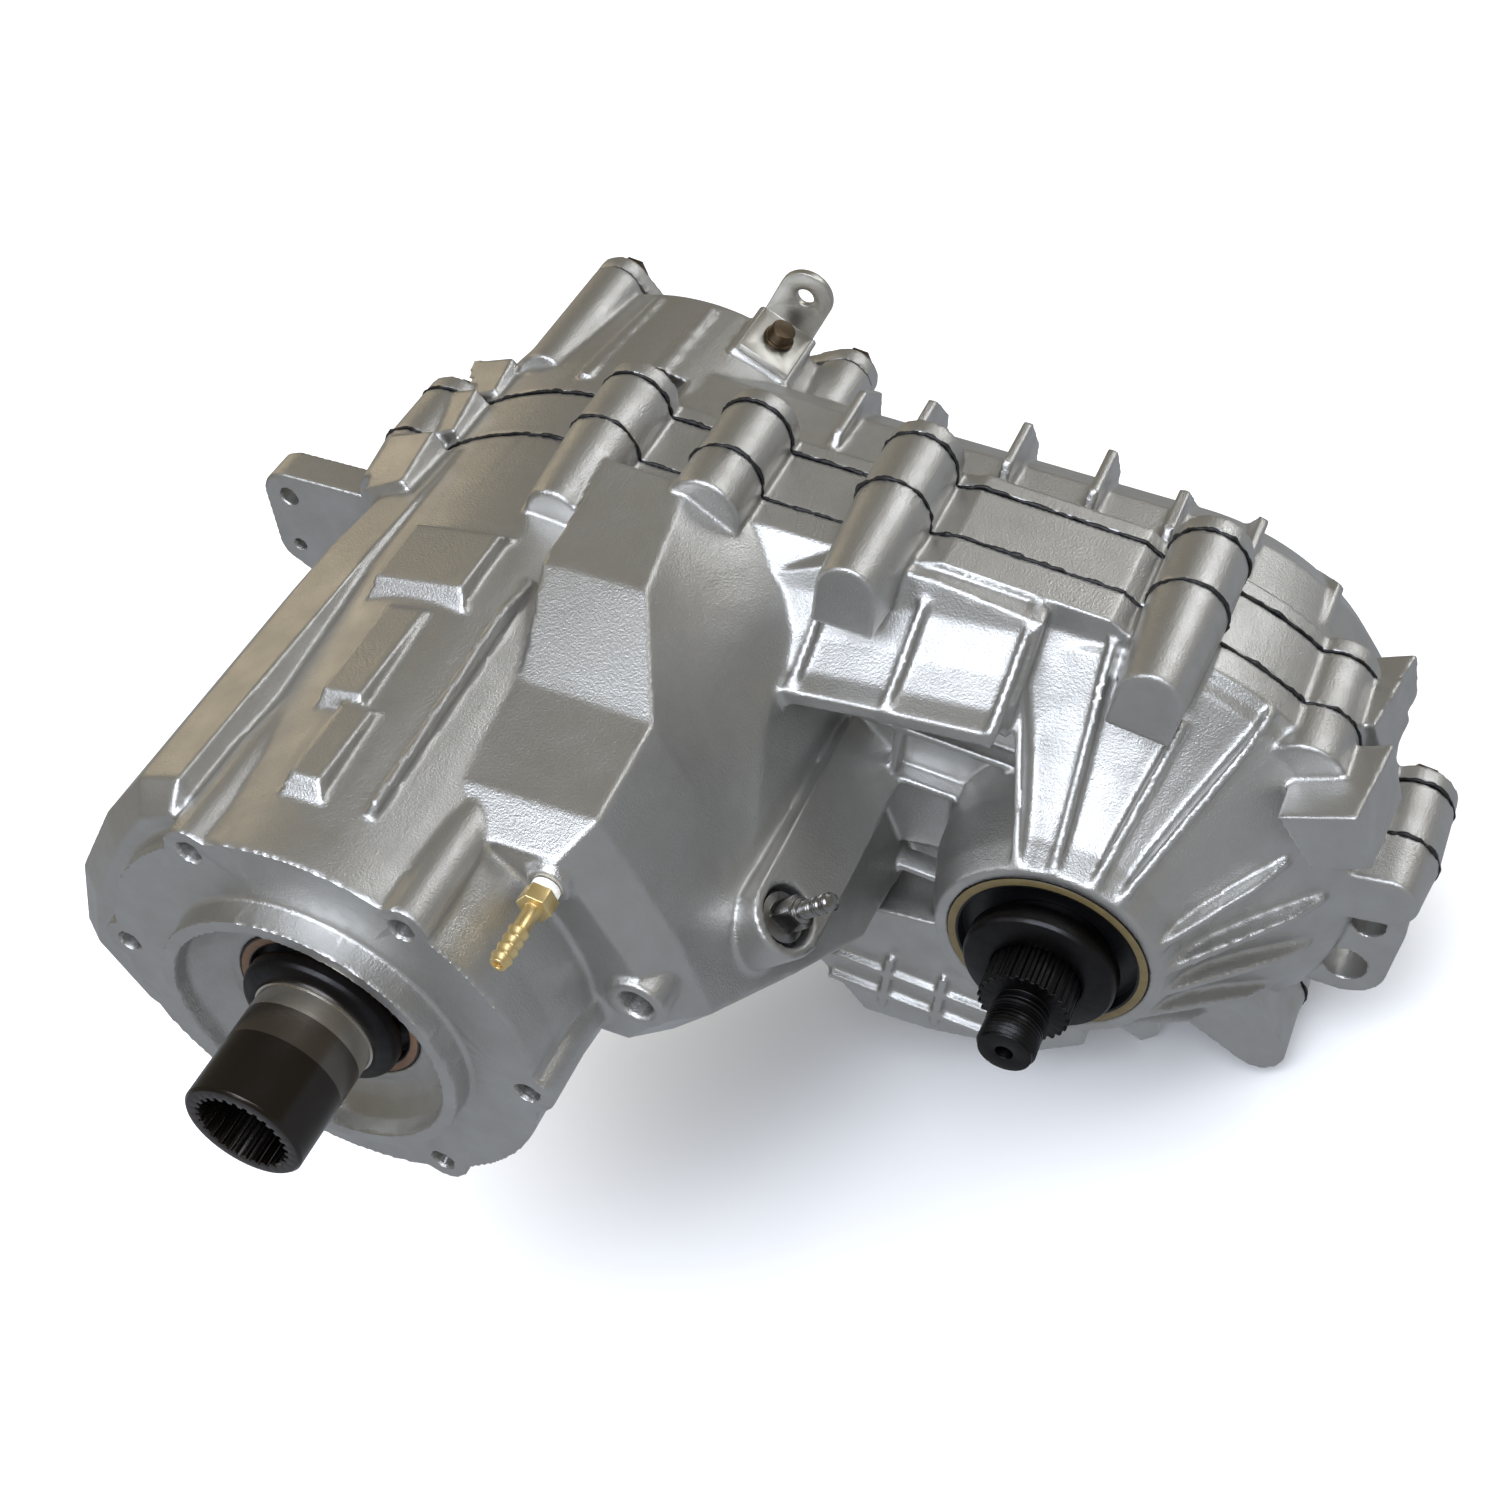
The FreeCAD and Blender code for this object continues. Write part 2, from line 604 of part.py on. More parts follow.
def skirt_ribs():
    """A grid of ribs on the front of the sump."""
    ribs = []
    for n in (-84, -98):
        ribs.append(outline([(128, n), (212, n), (212, n + RIB_T), (128, n + RIB_T)], Y_FRONT_WALL - 3,
                            Y_FRONT_WALL + 8))
    for u in (150, 172, 194):
        ribs.append(outline([(u, -104), (u + RIB_T, -104), (u + RIB_T, -72), (u, -72)], Y_FRONT_WALL - 3,
                            Y_FRONT_WALL + 8))
    return ribs


def ears():
    """Flange ears with their holes, the foot lobe and the lower corner web."""
    y0 = Y_SEAM1 - EAR_T
    (x1, z1, r1), (x2, z2, r2) = EAR_LEFT
    (x3, z3, r3), (x4, z4, r4) = EAR_RIGHT
    return [tongue((x1, z1), r1 + 7, (x2, z2), r2 + 6.7, y0, Y_SEAM1),
            tongue((x1, z1), r1 + 7, (-62, 50), 24, y0, Y_SEAM1),
            tongue((x2, z2), r2 + 6.7, (-70, 20), 20, y0, Y_SEAM1),
            tongue((x3, z3), r3 + 7, (x4, z4), r4 + 7, y0, Y_SEAM1),
            tongue((x3, z3), r3 + 7, (230, -130), 30, y0, Y_SEAM1),
            tongue((x4, z4), r4 + 7, (245, -110), 20, y0, Y_SEAM1),
            tongue((227, -196), 11, (214, -160), 22, y0 - 14, Y_SEAM1),
            slab([(135, -170), (172, -214), (180, -210), (186, -190), (190, -150), (150, -150)], y0, y0 + 9)]


def pry_lug(y0, y1, angle, axis, r_out, width):
    """A wedge-shaped block by a seam, for prying the castings apart."""
    a = math.degrees(width / r_out) / 2
    small = [about(axis, r_out - 26, angle - a), about(axis, r_out - 5, angle - a),
             about(axis, r_out - 1, angle + a * 0.4),
             about(axis, r_out - 26, angle + a)]
    large = [about(axis, r_out - 26, angle - a), about(axis, r_out - 2, angle - a),
             about(axis, r_out + 5, angle + a * 0.4),
             about(axis, r_out - 26, angle + a)]
    return loft([(y0, small), (y1, large)])


def front_cavity():
    """What is hollowed out of the front case, about both axes."""
    brg_end = INPUT_BRG_Y + INPUT_BRG_T + 3
    bore = turned([(-PILOT_T - PAST, 0), (-PILOT_T - PAST, PILOT_R - PILOT_WALL),
                   (-4, PILOT_R - PILOT_WALL - 1), (1, 44),
                   (SEAL_Y, 38), (SEAL_Y, SEAL_R + SEAT), (SEAL_Y + SEAL_T, SEAL_R + SEAT),
                   (SEAL_Y + SEAL_T, INPUT_JOURNAL_R + 4), (INPUT_BRG_Y, INPUT_JOURNAL_R + 4),
                   (INPUT_BRG_Y, INPUT_BRG_R + SEAT), (brg_end, INPUT_BRG_R + SEAT),
                   (brg_end, CARRIER_PLATE_R + 1),
                   (GEAR_Y - 4, CARRIER_PLATE_R + 4), (GEAR_Y - 4, RING_OUT + SEAT),
                   (Y_SEAM1 + PAST, RING_OUT + SEAT),
                   (Y_SEAM1 + PAST, 0)])
    shift = loft([(62, [(30, 8), (50, 44), (90, 26), (91, -16), (78, -40), (30, -24)]),
                  (108, [(30, 8), (48, 52), (92, 32), (97, -28), (88, -64), (30, -44)]),
                  (Y_CAVITY_FRONT, [(30, 8), (44, 56), (86, 40), (100, 4), (100, -76), (30, -50)])])
    chain_room = belt([(Y_CAVITY_FRONT, CHAIN_CAVITY_A - 3, CHAIN_CAVITY_B - 3),
                       (Y_SEAM1 + PAST, CHAIN_CAVITY_A, CHAIN_CAVITY_B)])
    brg_end = OUT_BRG_Y + OUT_BRG_T
    out_bore = turned([(Y_NOSE - PAST, 0), (Y_NOSE - PAST, OUT_SEAL_R + SEAT),
                       (Y_NOSE + SEAL_T, OUT_SEAL_R + SEAT),
                       (Y_NOSE + SEAL_T, 30), (OUT_BRG_Y, 30), (OUT_BRG_Y, OUT_BRG_R + SEAT),
                       (brg_end + 2, OUT_BRG_R + SEAT),
                       (Y_CAVITY_FRONT + PAST, OUT_BRG_R + 4), (Y_CAVITY_FRONT + PAST, 0)], OUT_AXIS)
    return [bore, shift, chain_room, out_bore, outline(SUMP_HOLLOW, Y_CAVITY_FRONT, Y_SEAM1 + PAST)]


def front_case():
    body = input_flange() + [bell(), left_cheek(), shift_housing(),
                             nose_flare()] + bell_pads() + chain_front()
    body += nose_ribs() + panel_ribs() + ears() + skirt_ribs()
    body += [rod(BOSS_R, Y_SEAM1 - 21, Y_SEAM1, spot) for spot in DOWEL_SPOTS]
    body += [boss_block(spot, y0, Y_SEAM1) for spot, y0 in zip(BOLT_SPOTS, BOSS_FRONTS)]
    body += [pry_lug(172, 200, 112, IN_AXIS, 101, 30), pry_lug(166, 200, 14, OUT_AXIS, 114, 34)]
    body += [rod(PORT_BOSS_R, PORT_Y, 80, PORT_SPOT),
             tongue(PORT_SPOT, PORT_BOSS_R - 1, (80, -20), PORT_BOSS_R, PORT_Y + 12, 80)]
    body.append(cone(VENT_R + 3.5, VENT_R + 6, VENT_Y, 60, VENT_SPOT))
    solid = fuse(body + selector_boss())
    cuts = front_cavity()
    cuts += [rod(PORT_R, PORT_Y - PAST, 58, PORT_SPOT),
             cone(PORT_R + 1, PORT_R, PORT_Y, PORT_Y + 1, PORT_SPOT)]
    cuts.append(rod(VENT_R, VENT_Y - PAST, 66, VENT_SPOT))
    for spot in FLANGE_SPOTS:
        cuts.append(rod(FLANGE_HOLE_R, -PAST, FLANGE_HOLE_DEPTH, spot))
    for x, z, r in EAR_LEFT + EAR_RIGHT:
        cuts.append(rod(r, Y_SEAM1 - EAR_T - 40, Y_SEAM1 + PAST, (x, z)))
    for spot, y0 in zip(BOLT_SPOTS, BOSS_FRONTS):
        cuts.append(rod(BOLT_R + SEAT, y0 + BOLT_ENGAGED - 4, Y_SEAM1 + PAST, spot))
    for spot in DOWEL_SPOTS:
        cuts.append(rod(DOWEL_R + SEAT, Y_SEAM1 - 8, Y_SEAM1 + PAST, spot))
    cuts.append(rod(RAIL_R + SEAT, RAIL_FRONT, RAIL_FRONT + RAIL_SEAT, RAIL_SPOT))
    cuts.append(selector_rod(SEL_R + RUN, SEL_INNER - CLEAR, SEL_FACE + PAST))
    cuts.append(selector_rod(SEL_BORE_R, SEL_FACE - 12, SEL_FACE + PAST))
    return cut(solid, cuts)


# ---------------------------------------------------------------- middle and rear castings
def middle_case():
    y0, y1 = Y_SEAM1 + BEAD, Y_SEAM2
    lugs = [pry_lug(y0 + 3, y1, 112, IN_AXIS, 98, 26), pry_lug(y0 + 3, y1, 16, OUT_AXIS, 112, 28)]
    body = fuse(joint_outline(y0, y1) + lugs)
    return cut(body, joint_hollow(y0 - PAST, y1 + PAST) + joint_holes(y0 - PAST, y1 + PAST))


def rear_fins():
    """Tall fins across the top of the rear case and radially round its dome."""
    fins = []
    y0 = Y_SEAM2 + 8
    for u, top in ((76, 95), (103, 101), (139, 105), (171, 105)):
        profile = [(60, y0), (88, y0), (top, y0 + 8), (top, y0 + 32), (80, y0 + 52), (60, y0 + 56)]
        fins.append(blade(profile, lambda n: on_line(u, n), FIN_T, (UX, UZ)))
    for angle, top in ((69, 100), (52, 100), (30, 95), (-34, 92), (-60, 90), (-90, 90)):
        d = about(IN_AXIS, 1.0, angle)
        profile = [(56, y0), (90, y0), (top, y0 + 8), (top, y0 + 30), (78, y0 + 50), (56, y0 + 60)]
        fins.append(blade(profile, lambda r: (OUT_AXIS[0] + d[0] * r, OUT_AXIS[1] + d[1] * r), FIN_T,
                          (-d[1], d[0])))
    return fins


def tail_ridges():
    """Shallow draft ridges along the tail."""
    ridges = []
    for angle in (62, 78, 122, 138, 152, 205, 225, 262, 282, 325):
        low = [about(IN_AXIS, 60, angle - 3), about(IN_AXIS, HULL_A + 2, angle - 1.6),
               about(IN_AXIS, HULL_A + 2, angle + 1.6),
               about(IN_AXIS, 60, angle + 3)]
        top = [about(IN_AXIS, 60, angle - 3), about(IN_AXIS, HULL_A - 5, angle - 1.2),
               about(IN_AXIS, HULL_A - 5, angle + 1.2),
               about(IN_AXIS, 60, angle + 3)]
        ridges.append(loft([(Y_SEAM2 + 10, low), (Y_TAIL_END - 8, top)]))
    return ridges


def rear_case():
    y0 = Y_SEAM2 + BEAD
    body = joint_outline(y0, HEAD_Y)
    body.append(belt([(HEAD_Y, HULL_A - 1, HULL_B - 3), (HEAD_Y + 26, HULL_A - 4, HULL_B - 5),
                      (Y_CAVITY_REAR - 6, HULL_A - 14, HULL_B - 14),
                      (Y_CAVITY_REAR + 10, HULL_A - 30, HULL_B - 30),
                      (Y_CAVITY_REAR + 20, HULL_A - 44, HULL_B - 48)]))
    sump = [on_line(u, n) for u, n in SUMP]
    sump_end = [on_line(u * 0.7 + 48, n * 0.7) for u, n in SUMP]
    body.append(loft([(HEAD_Y, sump), (Y_CAVITY_REAR, sump_end)]))
    body.append(turned([(y0, 0), (y0, HULL_A), (HEAD_Y + 12, HULL_A), (HEAD_Y + 30, HULL_A - 2),
                        (Y_TAIL_END - 4, HULL_A - 7),
                        (Y_TAIL_END, HULL_A - 10), (Y_TAIL_END, 0)]))
    body += [rod(TAIL_BOSS_R, Y_TAIL_END - 64, Y_TAIL_END, spot) for spot in TAIL_BOLTS]
    body += rear_fins() + tail_ridges()
    body += [pry_lug(y0 + 2, HEAD_Y + 14, 110, IN_AXIS, 96, 26),
             pry_lug(y0 + 2, HEAD_Y + 14, 12, OUT_AXIS, 108, 26)]
    body += [rod(PLUG_FLANGE_R + 2, PLUG_SEAT - 44, PLUG_SEAT, spot) for spot in PLUG_SPOTS]
    body.append(radial_box(BRACKET_ANGLE, 60, BRACKET_SEAT_R, Y_TAIL_END - 30, Y_TAIL_END, BRACKET_HALF + 2))
    end = Y_TAIL_END + PAST
    chain_room = belt([(y0 - PAST, CHAIN_CAVITY_A, CHAIN_CAVITY_B),
                       (CHAIN_END + 7, CHAIN_CAVITY_A, CHAIN_CAVITY_B - 2),
                       (Y_CAVITY_REAR - 12, CHAIN_CAVITY_A - 9, CHAIN_CAVITY_B - 9),
                       (Y_CAVITY_REAR, CHAIN_CAVITY_A - 23, CHAIN_CAVITY_B - 25)])
    bores = turned([(y0, 0), (y0, 60), (PUMP_Y, 60), (PUMP_Y, PUMP_R + SEAT),
                    (PUMP_Y + PUMP_T, PUMP_R + SEAT),
                    (PUMP_Y + PUMP_T, 36), (REAR_BRG_Y, 36), (REAR_BRG_Y, REAR_BRG_R + SEAT),
                    (end, REAR_BRG_R + SEAT), (end, 0)])
    cuts = [chain_room, bores, outline(SUMP_HOLLOW, y0 - PAST, CHAIN_END + 7),
            rod(OUT_REAR_BRG_R + SEAT, Y_CAVITY_REAR - 4, OUT_REAR_BRG_Y + OUT_REAR_BRG_T, OUT_AXIS)]
    cuts += joint_holes(y0 - PAST, y0 + 6.5)
    cuts += [rod(r + 3, y0, Y_TAIL_END, (x, z)) for x, z, r in EAR_RIGHT]
    for spot in BOLT_SPOTS:
        cuts.append(rod(BOLT_HOLE_R, y0, HEAD_Y + PAST, spot))
        cuts.append(rod(HEAD_R + 1.5, HEAD_Y, HEAD_Y + 16, spot))
    for spot in TAIL_BOLTS:
        cuts.append(rod(TAIL_BOLT_R + SEAT, Y_TAIL_END - 24, end, spot))
    for spot in PLUG_SPOTS:
        cuts.append(rod(PLUG_R + SEAT, PLUG_SEAT - 56, PLUG_SEAT + PAST, spot))
        cuts.append(rod(PLUG_FLANGE_R + 1, PLUG_SEAT, PLUG_SEAT + 10, spot))
    cuts.append(radial_rod(BRACKET_ANGLE, BRACKET_BOLT_R + SEAT, BRACKET_SEAT_R - 20, BRACKET_SEAT_R + PAST,
                           Y_TAIL_END - 15))
    cuts.append(radial_box(BRACKET_ANGLE, BRACKET_SEAT_R, BRACKET_SEAT_R + 40, Y_TAIL_END - 30, end,
                           BRACKET_HALF + 1))
    return cut(fuse(body), cuts)


def tail_retainer():
    """The flanged neck on the tail that holds the rear bearing and seal."""
    y0 = Y_TAIL_END + BEAD
    plate_end = y0 + RETAINER_T
    end = y0 + RETAINER_OUT
    neck_r = TAIL_SEAL_R + 8
    solid = [rod(RETAINER_R, y0, plate_end),
             turned([(y0, 0), (y0, neck_r + 12), (plate_end, neck_r + 8), (end - 4, neck_r), (end, neck_r),
                     (end, 0)])]
    solid += [tongue(IN_AXIS, 30, spot, TAIL_BOSS_R, y0, plate_end) for spot in TAIL_BOLTS]
    cuts = [rod(REAR_BRG_R - 6, y0 - PAST, y0 + 20), rod(TAIL_SEAL_R - 4, y0, end + PAST),
            rod(TAIL_SEAL_R + SEAT, end - SEAL_T, end + PAST)]
    for spot in TAIL_BOLTS:
        cuts.append(rod(TAIL_BOLT_R + CLEAR, y0 - PAST, plate_end + PAST, spot))
        cuts.append(rod(9.5, plate_end, end, spot))
    return cut(fuse(solid), cuts)


# ---------------------------------------------------------------- sealant, fasteners, fittings
def sealant(y_seam):
    """The bead squeezed between two castings, as wide as their joint faces."""
    y0, y1 = y_seam, y_seam + BEAD
    return cut(fuse(joint_outline(y0, y1)),
               joint_hollow(y0 - PAST, y1 + PAST) + joint_holes(y0 - PAST, y1 + PAST))


def hex_prism(r, y0, y1, spot):
    return slab([about(spot, r, 60 * i + 30) for i in range(6)], y0, y1)


def flange_bolt(spot, y_seat, y_end, r_shank, r_head):
    """A flange-head bolt whose head faces the rear."""
    washer = cone(r_head, r_head - 1.2, y_seat, y_seat + 2.4, spot)
    head = hex_prism(r_head * 0.78, y_seat + 2, y_seat + 8, spot)
    return fuse([rod(r_shank, y_end, y_seat + 1, spot), washer, head])


def case_bolts():
    return [flange_bolt(spot, HEAD_Y, y0 + BOLT_ENGAGED, BOLT_R, HEAD_R) for spot,
            y0 in zip(BOLT_SPOTS, BOSS_FRONTS)]


def tail_bolts():
    seat = Y_TAIL_END + BEAD + RETAINER_T
    return [flange_bolt(spot, seat, Y_TAIL_END - 20, TAIL_BOLT_R, 8.0) for spot in TAIL_BOLTS]


def dowels():
    return [rod(DOWEL_R, Y_SEAM1 - 7, Y_SEAM2 + BEAD + 6, spot) for spot in DOWEL_SPOTS]


def case_plug(spot):
    """A hexagon-socket plug in the back of the case."""
    body = fuse([rod(PLUG_R, PLUG_SEAT - 14, PLUG_SEAT + 1, spot),
                 rod(PLUG_FLANGE_R, PLUG_SEAT, PLUG_SEAT + 4, spot)])
    return cut(body, [hex_prism(5.5, PLUG_SEAT - 6, PLUG_SEAT + 5, spot)])


def vent_fitting():
    """A brass hose barb with its hexagon and its thread in the case."""
    tip = VENT_Y - 33
    body = [rod(VENT_R - SEAT, VENT_Y, VENT_Y + 13, VENT_SPOT),
            rod(VENT_R - 0.6, VENT_Y - 4, VENT_Y, VENT_SPOT),
            hex_prism(6.2, VENT_Y - 9.5, VENT_Y - 3.5, VENT_SPOT), rod(2.8, tip, VENT_Y - 9, VENT_SPOT)]
    for i in range(4):
        y = tip + 3.6 * i
        body.append(cone(2.6, 3.7, y, y + 3.2, VENT_SPOT))
    return cut(fuse(body), [rod(1.5, tip - PAST, VENT_Y + 14, VENT_SPOT)])


def vent_tape():
    """Sealing tape wound on the end of the vent's thread."""
    return cut(rod(VENT_R + 0.9, VENT_Y - 3.4, VENT_Y - 0.1, VENT_SPOT),
               [rod(VENT_R - 0.55, VENT_Y - 4, VENT_Y, VENT_SPOT)])


def lifting_bracket():
    """A bent tab with a hole, held on the tail by one bolt."""
    r0 = BRACKET_SEAT_R + SEAT
    y1 = Y_TAIL_END - 1
    hole_r = r0 + BRACKET_REACH
    x, z = about(IN_AXIS, hole_r, BRACKET_ANGLE)
    foot = radial_box(BRACKET_ANGLE, r0, r0 + BRACKET_T, y1 - 28, y1, BRACKET_HALF)
    wall = radial_box(BRACKET_ANGLE, r0, hole_r, y1 - BRACKET_T, y1, BRACKET_HALF)
    top = rod(BRACKET_HALF, y1 - BRACKET_T, y1, (x, z))
    holes = [rod(3.6, y1 - BRACKET_T - PAST, y1 + PAST, (x, z)),
             radial_rod(BRACKET_ANGLE, BRACKET_BOLT_R + CLEAR, r0 - PAST, r0 + BRACKET_T + PAST,
                        Y_TAIL_END - 15)]
    return cut(fuse([foot, wall, top]), holes)


def bracket_bolt():
    r1 = BRACKET_SEAT_R + SEAT + BRACKET_T
    y = Y_TAIL_END - 15
    return fuse([radial_rod(BRACKET_ANGLE, BRACKET_BOLT_R, r1 - 18, r1 + 1, y),
                 radial_rod(BRACKET_ANGLE, 6, r1, r1 + 1.5, y),
                 radial_rod(BRACKET_ANGLE, 4.8, r1 + 1, r1 + 6, y)])


# ---------------------------------------------------------------- input group
def input_shaft():
    """The hollow input shaft with its sun gear and the range sleeve's inner teeth."""
    body = turned([(INPUT_TIP, 0), (INPUT_TIP, INPUT_R - 1), (INPUT_TIP + 1, INPUT_R), (-6, INPUT_R),
                   (-6, INPUT_SEAL_R),
                   (INPUT_BRG_Y - 2, INPUT_SEAL_R), (INPUT_BRG_Y - 2, INPUT_JOURNAL_R),
                   (GEAR_Y - 2, INPUT_JOURNAL_R),
                   (GEAR_Y - 2, 30), (GEAR_Y, 30), (GEAR_Y, 0)])
    gear = toothed(SUN_TEETH, SUN_R - DEDENDUM, SUN_R + ADDENDUM, GEAR_Y - 1, GEAR_Y + GEAR_T + 2)
    spline = toothed(28, INPUT_BORE_R, INPUT_BORE_R + 1.4, INPUT_TIP - PAST, INPUT_TIP + 46)
    clutch = toothed(CLUTCH_TEETH, CLUTCH_R, CLUTCH_R + 2, GEAR_Y + 8, GEAR_Y + GEAR_T + 3)
    pilot = rod(MAIN_NOSE_R + RUN, GEAR_Y - 9, GEAR_Y + 9)
    return cut(fuse([body, gear]), [spline, clutch, pilot])


def bearing_rings(axis, ro, ri, y, t):
    """Outer ring, ball cage and inner ring of a ball bearing, as separate solids."""
    mid = (ro + ri) / 2
    gap = (ro - ri) * 0.13
    return [tube(ro, mid + gap, y, y + t, axis), tube(mid + gap, mid - gap, y + t * 0.15, y + t * 0.85, axis),
            tube(mid - gap, ri, y, y + t, axis)]


def planet_spot(i):
    return about(IN_AXIS, CARRIER_R, 360 / PLANETS * i)


def carrier():
    """Two plates joined between the planets, the rear one with clutch teeth."""
    teeth = toothed(CLUTCH_TEETH, CLUTCH_R, CLUTCH_R + 2, CARRIER_REAR - PAST, CARRIER_REAR + PLATE_T + PAST)
    body = [tube(CARRIER_PLATE_R, INPUT_JOURNAL_R + RUN, CARRIER_FRONT, CARRIER_FRONT + PLATE_T),
            cut(rod(CARRIER_PLATE_R, CARRIER_REAR, CARRIER_REAR + PLATE_T), [teeth])]
    for i in range(PLANETS):
        spot = about(IN_AXIS, CARRIER_R + 1, 360 / PLANETS * (i + 0.5))
        body.append(rod(7, CARRIER_FRONT + 1, CARRIER_REAR + 1, spot))
    pins = [rod(PIN_R + SEAT, CARRIER_FRONT - PAST, CARRIER_REAR + PLATE_T + PAST, planet_spot(i))
            for i in range(PLANETS)]
    return cut(fuse(body), pins)


def planet_pins():
    return [rod(PIN_R, CARRIER_FRONT, CARRIER_REAR + PLATE_T, planet_spot(i)) for i in range(PLANETS)]


def planet_gear(i):
    gear = toothed(PLANET_TEETH, PLANET_R - DEDENDUM, PLANET_R + ADDENDUM, GEAR_Y, GEAR_Y + GEAR_T,
                   planet_spot(i),
                   root_share=0.56, tip_share=0.24, phase=0.5)
    return cut(gear, [rod(PIN_R + RUN, GEAR_Y - PAST, GEAR_Y + GEAR_T + PAST, planet_spot(i))])


def ring_gear():
    teeth = toothed(RING_TEETH, RING_R - ADDENDUM, RING_R + DEDENDUM, GEAR_Y - 3, GEAR_Y + GEAR_T + 3,
                    root_share=0.68,
                    tip_share=0.42, phase=0.5)
    return cut(rod(RING_OUT, GEAR_Y - 2, GEAR_Y + GEAR_T + 2), [teeth])


# ---------------------------------------------------------------- main shaft group
def range_sleeve():
    """The sleeve that joins the main shaft to the input gear or to the carrier."""
    groove_end = SLEEVE_GROOVE_Y + GROOVE_W
    body = fuse([toothed(CLUTCH_TEETH, CLUTCH_R - 2.2, CLUTCH_R - CLEAR, SLEEVE_Y - 4, SLEEVE_Y + 7),
                 rod(CLUTCH_R - 3, SLEEVE_Y, SLEEVE_GROOVE_Y),
                 rod(RANGE_GROOVE_R + 8, SLEEVE_GROOVE_Y - 4, SLEEVE_GROOVE_Y),
                 rod(RANGE_GROOVE_R, SLEEVE_GROOVE_Y, groove_end),
                 rod(RANGE_GROOVE_R + 8, groove_end, groove_end + 4)])
    return cut(body, [rod(MAIN_R + RUN, SLEEVE_Y - 5, groove_end + 5)])


def mode_sleeve():
    """The sleeve that joins the drive sprocket to the main shaft's hub."""
    groove = MODE_Y + 4
    body = fuse([rod(MODE_GROOVE_R, MODE_Y, MODE_Y + 22), rod(MODE_GROOVE_R + 6, MODE_Y, groove),
                 rod(MODE_GROOVE_R + 6, groove + GROOVE_W, groove + GROOVE_W + 4)])
    return cut(body, [rod(HUB_R + RUN, MODE_Y - PAST, MODE_Y + 23)])


def fork(y, groove_r, ahead, behind):
    """A shift fork whose arms lie in a sleeve's groove and whose boss is on the rail."""
    y0 = y + CLEAR
    y1 = y0 + FORK_T
    away = RAIL_ANGLE + 180
    open_side = slab([about(IN_AXIS, 90, away - 85), about(IN_AXIS, 90, away), about(IN_AXIS, 90, away + 85),
                      about(IN_AXIS, 3, away)], y0 - PAST, y1 + PAST)
    arms = tube(groove_r + 14, groove_r + CLEAR, y0, y1).cut(open_side)
    web = slab([about(IN_AXIS, groove_r + 8, RAIL_ANGLE - 14), about(IN_AXIS, RAIL_OUT, RAIL_ANGLE - 6),
                about(IN_AXIS, RAIL_OUT, RAIL_ANGLE + 6), about(IN_AXIS, groove_r + 8, RAIL_ANGLE + 14)], y0,
                y1)
    boss = rod(RAIL_R + 3.5, y0 - ahead, y1 + behind, RAIL_SPOT)
    return cut(fuse([arms, web, boss]), [rod(RAIL_R + RUN, y0 - 10, y1 + 30, RAIL_SPOT)])


def shift_rail():
    return rod(RAIL_R, RAIL_FRONT + 0.2, Y_CAVITY_FRONT - 2, RAIL_SPOT)


def main_shaft():
    """The output shaft through the case, with its hub and the splined tail."""
    hub_end = HUB_Y + HUB_T
    pump_end = PUMP_Y + PUMP_T + 2
    brg_end = REAR_BRG_Y + REAR_BRG_T + 2
    neck = Y_TAIL_END + RETAINER_OUT + 4
    body = turned([(GEAR_Y - 7, 0), (GEAR_Y - 7, MAIN_NOSE_R - 1), (GEAR_Y - 6, MAIN_NOSE_R),
                   (GEAR_Y + 10, MAIN_NOSE_R),
                   (GEAR_Y + 10, MAIN_R), (HUB_Y, MAIN_R), (HUB_Y, HUB_R), (hub_end, HUB_R),
                   (hub_end, SPROCKET_SEAT_R),
                   (CHAIN_END + 7, SPROCKET_SEAT_R), (CHAIN_END + 7, MAIN_REAR_R + 1),
                   (pump_end, MAIN_REAR_R + 1), (pump_end, MAIN_REAR_R),
                   (brg_end, MAIN_REAR_R), (brg_end, TAIL_COLLAR_R), (neck, TAIL_COLLAR_R),
                   (neck, TAIL_SHAFT_R - 1.4),
                   (MAIN_TIP - 2, TAIL_SHAFT_R - 1.4), (MAIN_TIP, TAIL_SHAFT_R - 3), (MAIN_TIP, 0)])
    return fuse([body, toothed(27, TAIL_SHAFT_R - 1.5, TAIL_SHAFT_R, neck, MAIN_TIP - 3)])


def sprocket(axis, bore, y0, y1, collar):
    """A chain sprocket with its hub, and a collar in front where a sleeve engages it."""
    half = CHAIN_W / 2 - 1
    body = [toothed(SPROCKET_TEETH, SPROCKET_PITCH_R - SPROCKET_ROOT, SPROCKET_PITCH_R + SPROCKET_TIP,
                    CHAIN_Y - half,
                    CHAIN_Y + half, axis, 0.7, 0.3), rod(bore + 8, y0, y1, axis)]
    if collar:
        body.append(rod(HUB_R, y0 - collar, y0, axis))
    return cut(fuse(body), [rod(bore, y0 - 10, y1 + PAST, axis)])


def belt_point(s, r):
    """A place and a direction at a distance s along the belt round both axes."""
    turn = math.pi * r
    if s < DROP:
        x, z = on_line(s, r)
        return x, z, UX, UZ
    s -= DROP
    if s < turn:
        a = math.atan2(NZ, NX) - s / r
        return OUT_AXIS[0] + r * math.cos(a), OUT_AXIS[1] + r * math.sin(a), math.sin(a), -math.cos(a)
    s -= turn
    if s < DROP:
        x, z = on_line(DROP - s, -r)
        return x, z, -UX, -UZ
    s -= DROP
    a = math.atan2(-NZ, -NX) - s / r
    return r * math.cos(a), r * math.sin(a), math.sin(a), -math.cos(a)


